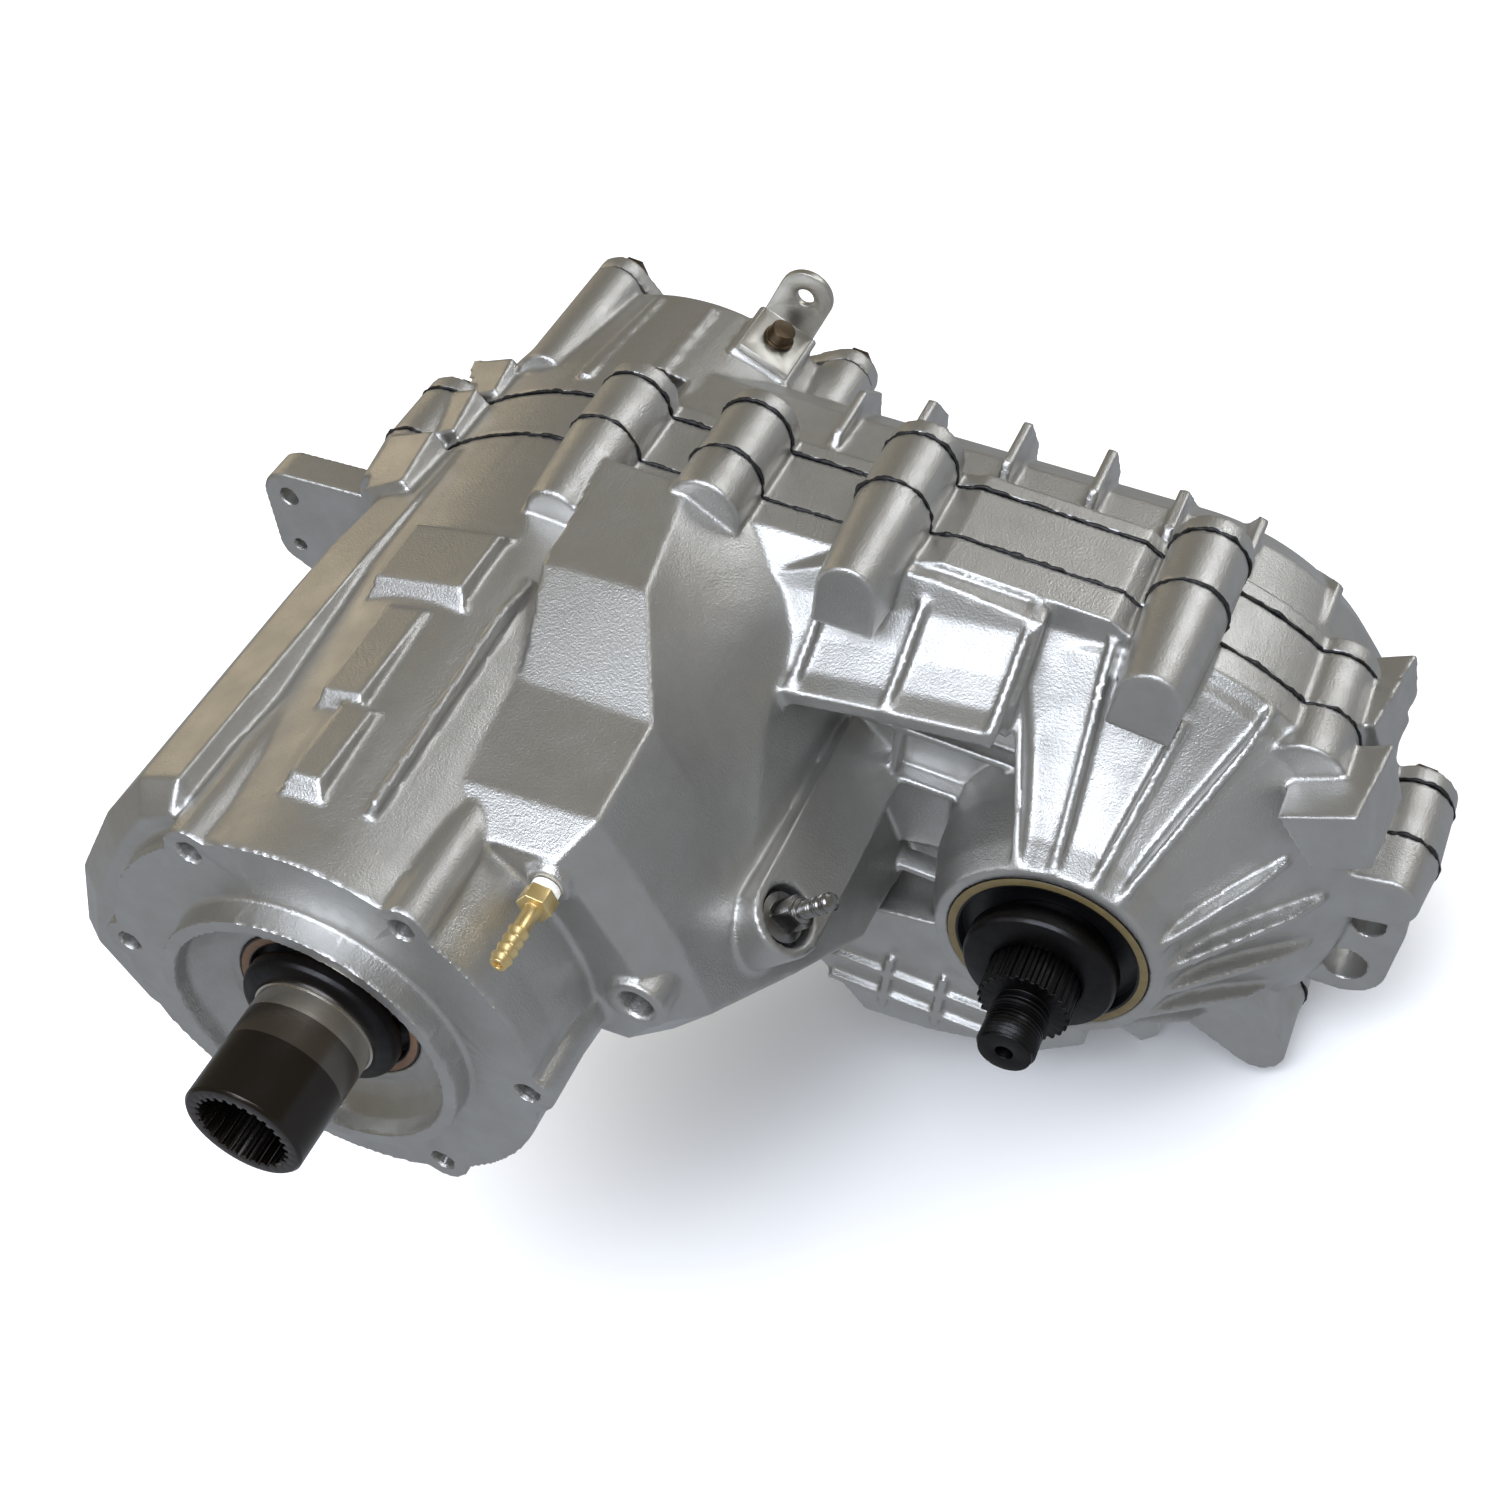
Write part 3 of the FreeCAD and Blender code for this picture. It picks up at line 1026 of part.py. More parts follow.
def chain():
    """The drive chain as link packs, wide and narrow in turn, round both sprockets."""
    r = SPROCKET_PITCH_R + SPROCKET_TIP + CLEAR + CHAIN_THICK / 2
    total = 2 * DROP + 2 * math.pi * r
    count = int(total / CHAIN_PITCH / 2) * 2
    half = total / count / 2 - 0.25
    links = []
    for i in range(count):
        x, z, dx, dz = belt_point((i + 0.5) * total / count, r)
        width = CHAIN_W if i % 2 else CHAIN_W - 6
        low = -CHAIN_THICK / 2
        h = CHAIN_THICK / 2 if i % 2 else CHAIN_THICK / 2 - 0.8
        shape = [(-half, low), (-half, h - 2), (2 - half, h), (half - 2, h), (half, h - 2), (half, low)]
        corners = [(x + dx * a - dz * b, z + dz * a + dx * b) for a, b in shape]
        links.append(slab(corners, CHAIN_Y - width / 2, CHAIN_Y + width / 2))
    return links


def pump_body():
    return cut(rod(PUMP_R, PUMP_Y, PUMP_Y + PUMP_T),
               [rod(PUMP_ROTOR_R + CLEAR, PUMP_Y + 3, PUMP_Y + PUMP_T + PAST),
                                                     rod(MAIN_REAR_R + 2, PUMP_Y - PAST, PUMP_Y + 4)])


def pump_rotor():
    rotor = toothed(8, PUMP_ROTOR_R - 5, PUMP_ROTOR_R, PUMP_Y + 3 + CLEAR, PUMP_Y + PUMP_T - CLEAR,
                    root_share=0.8,
                    tip_share=0.45)
    return cut(rotor, [rod(MAIN_REAR_R + 1 + SEAT, PUMP_Y, PUMP_Y + PUMP_T + PAST)])


# ---------------------------------------------------------------- front output group
def front_output_shaft():
    """The front output shaft: threaded stub, splines, seal journal and rear spigot."""
    spline_y = OUT_TIP + 20
    brg_end = OUT_REAR_BRG_Y + OUT_REAR_BRG_T - 1
    body = turned([(OUT_TIP, 3.2), (OUT_TIP, OUT_THREAD_R - 1.2), (OUT_TIP + 1.2, OUT_THREAD_R),
                   (spline_y - 3, OUT_THREAD_R),
                   (spline_y - 3, OUT_THREAD_R - 1), (spline_y, OUT_THREAD_R - 1),
                   (spline_y, OUT_SPLINE_R - 1.4),
                   (Y_NOSE, OUT_SPLINE_R - 1.4), (Y_NOSE, OUT_R), (CHAIN_END + 9, OUT_R),
                   (CHAIN_END + 9, OUT_TAIL_R + 2),
                   (OUT_REAR_BRG_Y - 2, OUT_TAIL_R + 2), (OUT_REAR_BRG_Y - 2, OUT_TAIL_R),
                   (brg_end, OUT_TAIL_R), (brg_end, 0),
                   (OUT_TIP + 14, 0), (OUT_TIP + 11, 3.2)], OUT_AXIS)
    return fuse([body, toothed(27, OUT_SPLINE_R - 1.5, OUT_SPLINE_R, spline_y, Y_NOSE - 2, OUT_AXIS)])


def slinger(axis, r_shaft, r_out, y0, y1):
    """A pressed flinger ring that turns with its shaft in front of the seal."""
    return turned([(y0, r_shaft), (y0, r_shaft + 2.4), (y0 + 1.5, r_out - 1), (y0 + 3, r_out), (y1, r_out),
                   (y1, r_out - 1.6),
                   (y0 + 4, r_out - 1.6), (y0 + 3, r_shaft + 3), (y1, r_shaft + 2), (y1, r_shaft)], axis)


def seal(axis, r_out, r_shaft, y0):
    """A shaft seal: a ring whose lip has a running gap to the shaft."""
    y1 = y0 + SEAL_T
    lip = r_shaft + CLEAR
    return turned([(y0, r_out - 4), (y0, r_out), (y1, r_out), (y1, lip + 3), (y1 - 2, lip), (y1 - 4, lip),
                   (y1 - 4, lip + 3),
                   (y1 - 2.5, r_out - 4)], axis)


# ---------------------------------------------------------------- selector
def selector_shaft():
    """The cross shaft with two flats and a threaded stud for its lever."""
    flats = selector_rod(SEL_FLAT_R, SEL_FACE - 3, SEL_FACE + 6)
    flats = flats.common(selector_box(SEL_FACE - 3, SEL_FACE + 6, SEL_Y - 4, SEL_Y + 4, SEL_FLAT_R + 1))
    return fuse([selector_rod(SEL_R, SEL_INNER, SEL_FACE - 3), flats,
                 selector_rod(4.4, SEL_FACE + 5, SEL_FACE + 7.5),
                 selector_rod(SEL_STUD_R, SEL_FACE + 5, SEL_FACE + 22)])


def selector_ring():
    """The wiper ring in the mouth of the selector's bore."""
    outer = selector_rod(SEL_BORE_R - SEAT, SEL_FACE - 10, SEL_FACE - 7)
    return cut(outer, [selector_rod(SEL_R + RUN, SEL_FACE - 12, SEL_FACE - 5)])


def main():
    os.makedirs("parts", exist_ok=True)
    write("front_case", [front_case()])
    write("middle_case", [middle_case()])
    write("rear_case", [rear_case()])
    write("tail_retainer", [tail_retainer()])
    write("front_sealant", [sealant(Y_SEAM1)])
    write("rear_sealant", [sealant(Y_SEAM2)])
    write("case_bolts", case_bolts())
    write("tail_bolts", tail_bolts())
    write("dowels", dowels())
    write("drain_plug", [case_plug(PLUG_SPOTS[0])])
    write("fill_plug", [case_plug(PLUG_SPOTS[1])])
    write("vent_fitting", [vent_fitting()])
    write("vent_tape", [vent_tape()])
    write("lifting_bracket", [lifting_bracket()])
    write("bracket_bolt", [bracket_bolt()])
    write("input_shaft", [input_shaft()])
    write("input_bearing",
          bearing_rings(IN_AXIS, INPUT_BRG_R, INPUT_JOURNAL_R + RUN, INPUT_BRG_Y, INPUT_BRG_T))
    write("input_seal", [seal(IN_AXIS, SEAL_R, INPUT_SEAL_R, SEAL_Y)])
    write("input_slinger", [slinger(IN_AXIS, INPUT_SEAL_R + SEAT, SLINGER_R, SEAL_Y - 9, SEAL_Y - 2)])
    write("planet_carrier", [carrier()])
    write("planet_pins", planet_pins())
    for i in range(PLANETS):
        write("planet_gear_%d" % (i + 1), [planet_gear(i)])
    write("ring_gear", [ring_gear()])
    write("range_sleeve", [range_sleeve()])
    write("range_fork", [fork(SLEEVE_GROOVE_Y, RANGE_GROOVE_R, 6, 3)])
    write("mode_sleeve", [mode_sleeve()])
    write("mode_fork", [fork(MODE_Y + 4, MODE_GROOVE_R, 2, 4)])
    write("shift_rail", [shift_rail()])
    write("main_shaft", [main_shaft()])
    write("drive_sprocket",
          [sprocket(IN_AXIS, SPROCKET_SEAT_R + RUN, HUB_Y + HUB_T + 12, CHAIN_Y + CHAIN_W / 2 + 5, 8)])
    write("driven_sprocket",
          [sprocket(OUT_AXIS, OUT_R + SEAT, CHAIN_Y - CHAIN_W / 2 - 5, CHAIN_Y + CHAIN_W / 2 + 5, 0)])
    write("drive_chain", chain())
    write("pump_body", [pump_body()])
    write("pump_rotor", [pump_rotor()])
    write("rear_bearing", bearing_rings(IN_AXIS, REAR_BRG_R, MAIN_REAR_R + RUN, REAR_BRG_Y, REAR_BRG_T))
    write("rear_output_seal",
          [seal(IN_AXIS, TAIL_SEAL_R, TAIL_COLLAR_R, Y_TAIL_END + BEAD + RETAINER_OUT - SEAL_T)])
    write("front_output_shaft", [front_output_shaft()])
    write("front_output_bearing", bearing_rings(OUT_AXIS, OUT_BRG_R, OUT_R + RUN, OUT_BRG_Y, OUT_BRG_T))
    write("front_output_rear_bearing",
          bearing_rings(OUT_AXIS, OUT_REAR_BRG_R, OUT_TAIL_R + RUN, OUT_REAR_BRG_Y,
                                                     OUT_REAR_BRG_T))
    write("front_output_seal", [seal(OUT_AXIS, OUT_SEAL_R, OUT_R, Y_NOSE)])
    write("front_output_slinger", [slinger(OUT_AXIS, OUT_SPLINE_R + SEAT, 27.5, Y_NOSE - 12, Y_NOSE - 2.5)])
    write("selector_shaft", [selector_shaft()])
    write("selector_ring", [selector_ring()])


main()
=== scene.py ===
"""Looks of a chain-driven transfer case: castings, sealant, fasteners, shafts and fittings."""

import json
import math

import bmesh
import bpy
import numpy as np
from mathutils import Matrix, Vector


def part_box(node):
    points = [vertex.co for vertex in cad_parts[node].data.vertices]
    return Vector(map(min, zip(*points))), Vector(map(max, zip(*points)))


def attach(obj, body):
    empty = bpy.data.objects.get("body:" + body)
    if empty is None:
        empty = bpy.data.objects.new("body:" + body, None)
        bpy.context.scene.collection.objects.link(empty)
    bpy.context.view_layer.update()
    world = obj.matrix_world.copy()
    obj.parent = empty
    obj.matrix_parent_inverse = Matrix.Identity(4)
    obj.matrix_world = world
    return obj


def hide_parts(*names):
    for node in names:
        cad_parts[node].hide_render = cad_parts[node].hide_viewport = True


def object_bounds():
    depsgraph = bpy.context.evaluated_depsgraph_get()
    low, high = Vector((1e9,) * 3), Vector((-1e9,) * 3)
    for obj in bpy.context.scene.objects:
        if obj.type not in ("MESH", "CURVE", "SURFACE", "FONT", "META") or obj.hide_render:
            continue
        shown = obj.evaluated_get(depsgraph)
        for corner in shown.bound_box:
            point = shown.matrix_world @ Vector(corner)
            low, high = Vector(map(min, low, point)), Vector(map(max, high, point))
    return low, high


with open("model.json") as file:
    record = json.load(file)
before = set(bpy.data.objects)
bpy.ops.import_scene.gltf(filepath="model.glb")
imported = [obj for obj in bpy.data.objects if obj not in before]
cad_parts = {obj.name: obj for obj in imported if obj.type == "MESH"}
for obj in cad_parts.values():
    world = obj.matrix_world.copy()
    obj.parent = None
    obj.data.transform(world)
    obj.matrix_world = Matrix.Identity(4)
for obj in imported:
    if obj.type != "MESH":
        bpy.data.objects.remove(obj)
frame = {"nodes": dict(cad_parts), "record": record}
CAD_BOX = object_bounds()
NODES = frame["nodes"]
MOUNTS = {mount["name"]: mount for mount in frame["record"]["mounts"]}

bl_info = {
    "name": "Transfer case dressing",
    "version": (1, 0, 0),
    "blender": (4, 5, 0),
    "location": "3D Viewport > Sidebar > Transfer case",
    "description": "Finishes the castings, shafts, fasteners and sealant of a chain-driven transfer case",
    "category": "Object",
}

MM = 0.001
ALONG = Vector((0, 1, 0))                   # the shafts lie along Y


# ---------------------------------------------------------------- places, read from the frame
def node_span(node, axis):
    """The lowest and highest coordinate of a node along one axis."""
    low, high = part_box(node)
    return low[axis], high[axis]


def node_axis(node):
    """The X and Z of the axis of a turned node that lies along Y."""
    low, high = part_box(node)
    return (low[0] + high[0]) / 2, (low[2] + high[2]) / 2


SEAM_FRONT = node_span("front_sealant", 1)
SEAM_REAR = node_span("rear_sealant", 1)
TAIL_FACE = node_span("tail_retainer", 1)[0]
OUT_X, OUT_Z = node_axis("front_output_shaft")
NOSE_Y = node_span("front_output_seal", 1)[0]
FLANGE_PCR = MOUNTS["input_flange"]["dims"]["pcd_mm"] * MM / 2
FLANGE_HOLE_R = MOUNTS["input_flange"]["dims"]["hole_r_mm"] * MM
FLANGE_HOLES = MOUNTS["input_flange"]["dims"]["count"]
FLANGE_FIRST = math.radians(36)
FLANGE_ANGLES = [FLANGE_FIRST + 2 * math.pi * i / FLANGE_HOLES for i in range(FLANGE_HOLES)]
FLANGE_SPOTS = [(FLANGE_PCR * math.cos(angle), FLANGE_PCR * math.sin(angle)) for angle in FLANGE_ANGLES]
FLANGE_FACE_R = 84 * MM                     # the machined face round the input
NOSE_FACE_R = 42 * MM                       # the machined face round the front output


# ---------------------------------------------------------------- mesh helpers
MACHINED_SHARP = math.radians(35)           # edges sharper than this stay sharp in the shading
CAST_SHARP = math.radians(50)
THREAD_SHARP = math.radians(30)
JOIN_DISTANCE = 2e-6                        # corners nearer than this are one, in metres
FLAT_ANGLE = math.radians(1.0)              # faces that turn by less than this are one flat
BREAK_ANGLE = math.radians(28)              # edges that turn by more than this are broken
BREAK_SEGMENTS = 2


def linear(code, alpha=1.0):
    """A hex colour as the linear values that shaders take."""
    parts = [int(code[i:i + 2], 16) / 255 for i in (1, 3, 5)]
    return tuple(c / 12.92 if c <= 0.04045 else ((c + 0.055) / 1.055) ** 2.4 for c in parts) + (alpha,)


def new_piece(name, mesh, material, body, replaced=()):
    """Puts a finished mesh in the scene, on its body and slot, in place of the nodes that it stands for."""
    piece = bpy.data.objects.new(name, mesh)
    bpy.context.scene.collection.objects.link(piece)
    mesh.materials.clear()
    mesh.materials.append(material)
    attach(piece, body)
    if replaced:
        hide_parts(*replaced)
    return piece


def merged_copy(node):
    """A copy of a node's mesh with its loose triangles joined."""
    mesh = NODES[node].data.copy()
    mesh.materials.clear()
    work = bmesh.new()
    work.from_mesh(mesh)
    bmesh.ops.remove_doubles(work, verts=work.verts, dist=JOIN_DISTANCE)
    bmesh.ops.dissolve_degenerate(work, edges=work.edges, dist=1e-7)
    work.to_mesh(mesh)
    work.free()
    return mesh


def with_modifiers(mesh, *settings):
    """The mesh after modifiers, each a (type, {property: value}) pair."""
    holder = bpy.data.objects.new("work", mesh)
    bpy.context.scene.collection.objects.link(holder)
    for kind, values in settings:
        modifier = holder.modifiers.new(kind, kind)
        for key, value in values.items():
            setattr(modifier, key, value)
    result = bpy.data.meshes.new_from_object(holder.evaluated_get(bpy.context.evaluated_depsgraph_get()))
    bpy.data.objects.remove(holder)
    return result


def eased_copy(node, width):
    """A merged copy of a machined node with its edges broken by a width in millimetres."""
    mesh = with_modifiers(merged_copy(node),
                          ("DECIMATE", {"decimate_type": "DISSOLVE", "angle_limit": FLAT_ANGLE}))
    mesh = with_modifiers(mesh, ("BEVEL", {"width": width * MM, "segments": BREAK_SEGMENTS,
                                           "limit_method": "ANGLE", "angle_limit": BREAK_ANGLE,
                                           "harden_normals": False, "use_clamp_overlap": True}),
                          ("TRIANGULATE", {}))
    mesh.shade_smooth()
    mesh.set_sharp_from_angle(angle=MACHINED_SHARP)
    return mesh


# ---------------------------------------------------------------- materials
NOISE_RANGE = (0.3, 0.7)                    # nearly all of a noise lies between these
COARSE_GRAIN = 1.7                          # size of the second grain, of the first
GRAIN_DEPTH = 0.5                           # height of the grain, of its size
MARK_LENGTH = 6 * MM                        # length of a tool mark, round a shaft


def add(tree, kind, settings=None, links=None, **inputs):
    """Adds a node, sets its properties and inputs, and links sockets into it."""
    node = tree.nodes.new(kind)
    for key, value in (settings or {}).items():
        setattr(node, key, value)
    for key, value in inputs.items():
        node.inputs[key.replace("_", " ")].default_value = value
    for key, source in (links or {}).items():
        tree.links.new(source, node.inputs[key])
    return node


def zone_colour(tree, place, centre, stops):
    """A colour that changes in steps along Y, or outwards from the centre if there is one.

    The stops are (millimetres, colour) pairs, and each colour holds up to the next stop.
    """
    if centre is None:
        measure = add(tree, "ShaderNodeSeparateXYZ", links={"Vector": place}).outputs["Y"]
    else:
        across = add(tree, "ShaderNodeVectorMath", {"operation": "MULTIPLY"}, {0: place})
        across.inputs[1].default_value = (1.0, 0.0, 1.0)
        offset = add(tree, "ShaderNodeVectorMath", {"operation": "SUBTRACT"}, {0: across.outputs["Vector"]})
        offset.inputs[1].default_value = (centre[0], 0.0, centre[1])
        measure = add(tree, "ShaderNodeVectorMath", {"operation": "LENGTH"},
                      {0: offset.outputs["Vector"]}).outputs["Value"]
    first, last = stops[0][0], stops[-1][0] + 1     # a millimetre for the last colour, which then runs on
    share = add(tree, "ShaderNodeMapRange", links={"Value": measure})
    share.inputs["From Min"].default_value = first * MM
    share.inputs["From Max"].default_value = last * MM
    ramp = add(tree, "ShaderNodeValToRGB", links={"Fac": share.outputs["Result"]})
    ramp.color_ramp.interpolation = "CONSTANT"
    for index, (station, code) in enumerate(stops):
        at = (station - first) / (last - first)
        stop = ramp.color_ramp.elements[0] if index == 0 else ramp.color_ramp.elements.new(at)
        stop.color = linear(code)
    ramp.color_ramp.elements.remove(ramp.color_ramp.elements[-1])
    return ramp.outputs["Color"]


def metal(name, colour, shade, roughness, spread, grain_mm, bump, mottle_mm, metallic=1.0, scratch=0.0,
          zones=None):
    """A metal or rubber surface: two mottled tones, a fine grain in the bump and an uneven roughness.

    grain_mm is the size of the grain, mottle_mm that of the patches of tone, spread how far the roughness
    strays, and scratch the width of tool marks in millimetres. With zones, a (centre, stops) pair, the tones
    darken the colour of each zone.
    """
    material = bpy.data.materials.new(name)
    material.use_nodes = True
    tree = material.node_tree
    tree.nodes.clear()
    place = add(tree, "ShaderNodeTexCoord").outputs["Object"]
    patches = add(tree, "ShaderNodeTexNoise", links={"Vector": place}, Scale=1 / (mottle_mm * MM), Detail=4.0,
                  Roughness=0.55)
    grain = add(tree, "ShaderNodeTexNoise", links={"Vector": place}, Scale=1 / (grain_mm * MM), Detail=3.0,
                Roughness=0.6)
    tone = add(tree, "ShaderNodeMix", {"data_type": "RGBA"}, {"Factor": patches.outputs["Fac"]})
    tone.inputs[6].default_value = linear(colour)
    tone.inputs[7].default_value = linear(shade)
    colour_out = tone.outputs[2]
    if zones:
        tinted = add(tree, "ShaderNodeMix", {"data_type": "RGBA", "blend_type": "MULTIPLY"}, Factor=1.0)
        tree.links.new(zone_colour(tree, place, *zones), tinted.inputs[6])
        tree.links.new(tone.outputs[2], tinted.inputs[7])
        colour_out = tinted.outputs[2]
    gloss = add(tree, "ShaderNodeMapRange", links={"Value": patches.outputs["Fac"]})
    gloss.inputs["From Min"].default_value, gloss.inputs["From Max"].default_value = NOISE_RANGE
    gloss.inputs["To Min"].default_value = roughness - spread
    gloss.inputs["To Max"].default_value = roughness + spread
    coarse = add(tree, "ShaderNodeTexNoise", links={"Vector": place},
                 Scale=1 / (COARSE_GRAIN * grain_mm * MM), Detail=2.0)
    height = add(tree, "ShaderNodeMath", {"operation": "ADD"},
                 {0: grain.outputs["Fac"], 1: coarse.outputs["Fac"]}).outputs[0]
    if scratch:
        turned = add(tree, "ShaderNodeMapping", links={"Vector": place})
        turned.inputs["Scale"].default_value = (1 / MARK_LENGTH, 1 / (scratch * MM), 1 / MARK_LENGTH)
        marks = add(tree, "ShaderNodeTexNoise", links={"Vector": turned.outputs["Vector"]}, Scale=1.0,
                    Detail=2.0)
        height = add(tree, "ShaderNodeMath", {"operation": "ADD"},
                     {0: height, 1: marks.outputs["Fac"]}).outputs[0]
    relief = add(tree, "ShaderNodeBump", links={"Height": height}, Strength=bump,
                 Distance=grain_mm * MM * GRAIN_DEPTH)
    shader = add(tree, "ShaderNodeBsdfPrincipled", Metallic=metallic, links={
        "Base Color": colour_out, "Roughness": gloss.outputs["Result"], "Normal": relief.outputs["Normal"]})
    add(tree, "ShaderNodeOutputMaterial", links={"Surface": shader.outputs["BSDF"]})
    return material


class Finishes:
    """The materials, made once when the first piece asks for one."""
    made = {}

    @classmethod
    def get(cls, name):
        """The material of a finish."""
        if not cls.made:
            look = bpy.context.scene.transfer_case_finish
            # Each line: name, two tones, roughness and its spread, grain in mm, bump, patches of tone in mm.
            # Die-cast aluminium after shot blasting: a soft silver with a sandy sparkle.
            cls.made["cast"] = metal("cast_aluminium", "#D2D2D0", "#B7B5B1", look.cast_roughness, 0.05, 0.55,
                                     0.5, 14)
            # Milled aluminium: brighter and smoother than the casting, with fine tool lines.
            cls.made["milled"] = metal("milled_aluminium", "#CFCFCC", "#BEBDBA", 0.30, 0.04, 0.5, 0.12, 9,
                                       scratch=0.35)
            # Room-temperature silicone sealant: black, slightly glossy where it has skinned over.
            cls.made["sealant"] = metal("silicone_sealant", "#0C0C0D", "#1A1A1B", 0.42, 0.08, 1.4, 0.4, 6,
                                        metallic=0.0)
            # Yellow-passivated and oiled steel heads: dark bronze.
            cls.made["bronzed"] = metal("passivated_steel", "#6B5B48", "#4A3F33", 0.36, 0.07, 0.6, 0.2, 4)
            # Ground shaft steel: bright with a dark oil film in places.
            cls.made["ground"] = metal("ground_steel", "#A9A8A6", "#8A8987", 0.24, 0.06, 0.5, 0.08, 11,
                                       scratch=0.3)
            # Phosphated steel: near-black, dull.
            cls.made["phosphate"] = metal("phosphated_steel", "#3A393A", "#252425", 0.38, 0.08, 0.5, 0.2, 7)
            # Bare brass bar, turned.
            cls.made["brass"] = metal("turned_brass", "#FFEBB4", "#EBCB88", 0.36, 0.05, 0.4, 0.1, 5)
            # Thread-sealing tape: white and matt, in overlapping turns.
            cls.made["tape"] = metal("thread_tape", "#F0EEE9", "#DDD9D0", 0.7, 0.05, 0.5, 0.5, 2,
                                     metallic=0.0)
            # Zinc-plated sheet steel: pale grey.
            cls.made["zinc"] = metal("zinc_plate", "#CBC9C2", "#B4B1A8", 0.40, 0.06, 0.7, 0.15, 7)
            # Case-hardened gear steel: mid grey, smooth flanks.
            cls.made["gear"] = metal("gear_steel", "#8C8B8A", "#6F6E6D", 0.30, 0.05, 0.5, 0.1, 6)
            # Nitrile rubber: black with a faint bloom.
            cls.made["rubber"] = metal("nitrile_rubber", "#17171A", "#222226", 0.5, 0.07, 0.7, 0.25, 5,
                                       metallic=0.0)
            # Input shaft: oil-blackened on the spline, worn bright where the seal lip runs.
            cls.made["journal"] = metal("worn_shaft_steel", "#FFFFFF", "#D5D3D0", 0.22, 0.06, 0.5, 0.08, 11,
                                        scratch=0.3,
                                        zones=(None, ((-60, "#4A4643"), (-25, "#7A746E"),
                                                      (-13.5, "#D8D2C8"))))
            # Lip seals: a rubber lip inside a tan coated shell.
            cls.made["input_lip"] = metal("input_seal_rubber", "#FFFFFF", "#CFCBC6", 0.42, 0.08, 0.6, 0.15, 3,
                                          metallic=0.2,
                                          zones=((0.0, 0.0), ((0, "#141416"), (30.5, "#7C5F48"),
                                                              (33.2, "#26211D"))))
            cls.made["output_lip"] = metal("output_seal_rubber", "#FFFFFF", "#CFCBC6", 0.38, 0.08, 0.6, 0.15,
                                           3, metallic=0.2,
                                           zones=((OUT_X, OUT_Z),
                                                  ((0, "#121214"), (33.3, "#6E6140"), (36.2, "#1B1A18"))))
        return cls.made[name]


# ---------------------------------------------------------------- castings
SEAM_KEEP, SEAM_FADE = 0.4 * MM, 2.2 * MM   # how far the machined seams stay as they are, and then let go
FACE_KEEP, FACE_FADE = 0.2 * MM, 3 * MM
HOLE_KEEP, HOLE_FADE = 0.8 * MM, 1.6 * MM
ELSEWHERE = 1.0                             # a distance that is past any fade, in metres
SOFTEN_PUSHES = (0.55, -0.57)               # a pull towards the neighbours, then a slightly larger push back
# node: (name of the piece, passes of smoothing, most triangles)
CASTINGS = {
    "front_case": ("front_casting", 9, 195000), "middle_case": ("middle_casting", 6, 80000),
    "rear_case": ("rear_casting", 9, 180000), "tail_retainer": ("tail_casting", 5, 60000),
}


def hold_weights(points, holes):
    """How far each point of a casting may soften: 0 on machined places, 1 on cast skin."""
    x, y, z = points[:, 0], points[:, 1], points[:, 2]
    free = np.ones(len(points))

    def keep(distance, full, fade):
        np.minimum(free, np.clip((distance - full) / fade, 0, 1), out=free)

    for face in SEAM_FRONT + SEAM_REAR + (TAIL_FACE,):
        keep(np.abs(y - face), SEAM_KEEP, SEAM_FADE)
    keep(np.where(np.hypot(x, z) < FLANGE_FACE_R, y - FACE_KEEP, ELSEWHERE), 0, FACE_FADE)
    keep(np.where(np.hypot(x - OUT_X, z - OUT_Z) < NOSE_FACE_R, y - NOSE_Y, ELSEWHERE), 0, FACE_FADE)
    for hole_x, hole_z, radius in holes:
        keep(np.hypot(x - hole_x, z - hole_z), radius + HOLE_KEEP, HOLE_FADE)
    return free


def soften(mesh, holes, passes):
    """Rounds a casting's edges by low-pass smoothing, which keeps its size, but not its machined places."""
    count = len(mesh.vertices)
    points = np.empty(count * 3)
    mesh.vertices.foreach_get("co", points)
    points = points.reshape(-1, 3)
    edges = np.empty(len(mesh.edges) * 2, np.int32)
    mesh.edges.foreach_get("vertices", edges)
    a, b = edges.reshape(-1, 2).T
    degree = np.maximum(np.bincount(a, minlength=count) + np.bincount(b, minlength=count), 1)[:, None]
    free = hold_weights(points, holes)[:, None]
    for _ in range(passes):
        for push in SOFTEN_PUSHES:
            total = np.stack([np.bincount(a, points[b, k], count) + np.bincount(b, points[a, k], count)
                              for k in range(3)], 1)
            points += (total / degree - points) * push * free
    mesh.vertices.foreach_set("co", points.ravel())
    mesh.update()


def cast_piece(node, name, passes, triangles):
    """A casting with its draft edges and roots rounded, as metal leaves a mould."""
    look = bpy.context.scene.transfer_case_finish
    size = look.cast_cell * 1.0
    mesh = with_modifiers(merged_copy(node),
                          ("REMESH", {"mode": "VOXEL", "voxel_size": size, "adaptivity": 0.0}))
    holes = [(m["pos_m"][0], m["pos_m"][2], m["dims"]["r_mm"] * MM) for m in MOUNTS.values()
             if m["kind"] in ("bore", "threaded_hole") and abs(m["axis"][1]) > 0.9]
    holes += [(x, z, FLANGE_HOLE_R) for x, z in FLANGE_SPOTS]
    soften(mesh, holes, passes)
    ratio = min(1.0, triangles / (2 * len(mesh.polygons)))
    mesh = with_modifiers(mesh, ("DECIMATE", {"ratio": ratio}))
    mesh.shade_smooth()
    mesh.set_sharp_from_angle(angle=CAST_SHARP)
    return new_piece(name, mesh, Finishes.get("cast"), "case", (node,))


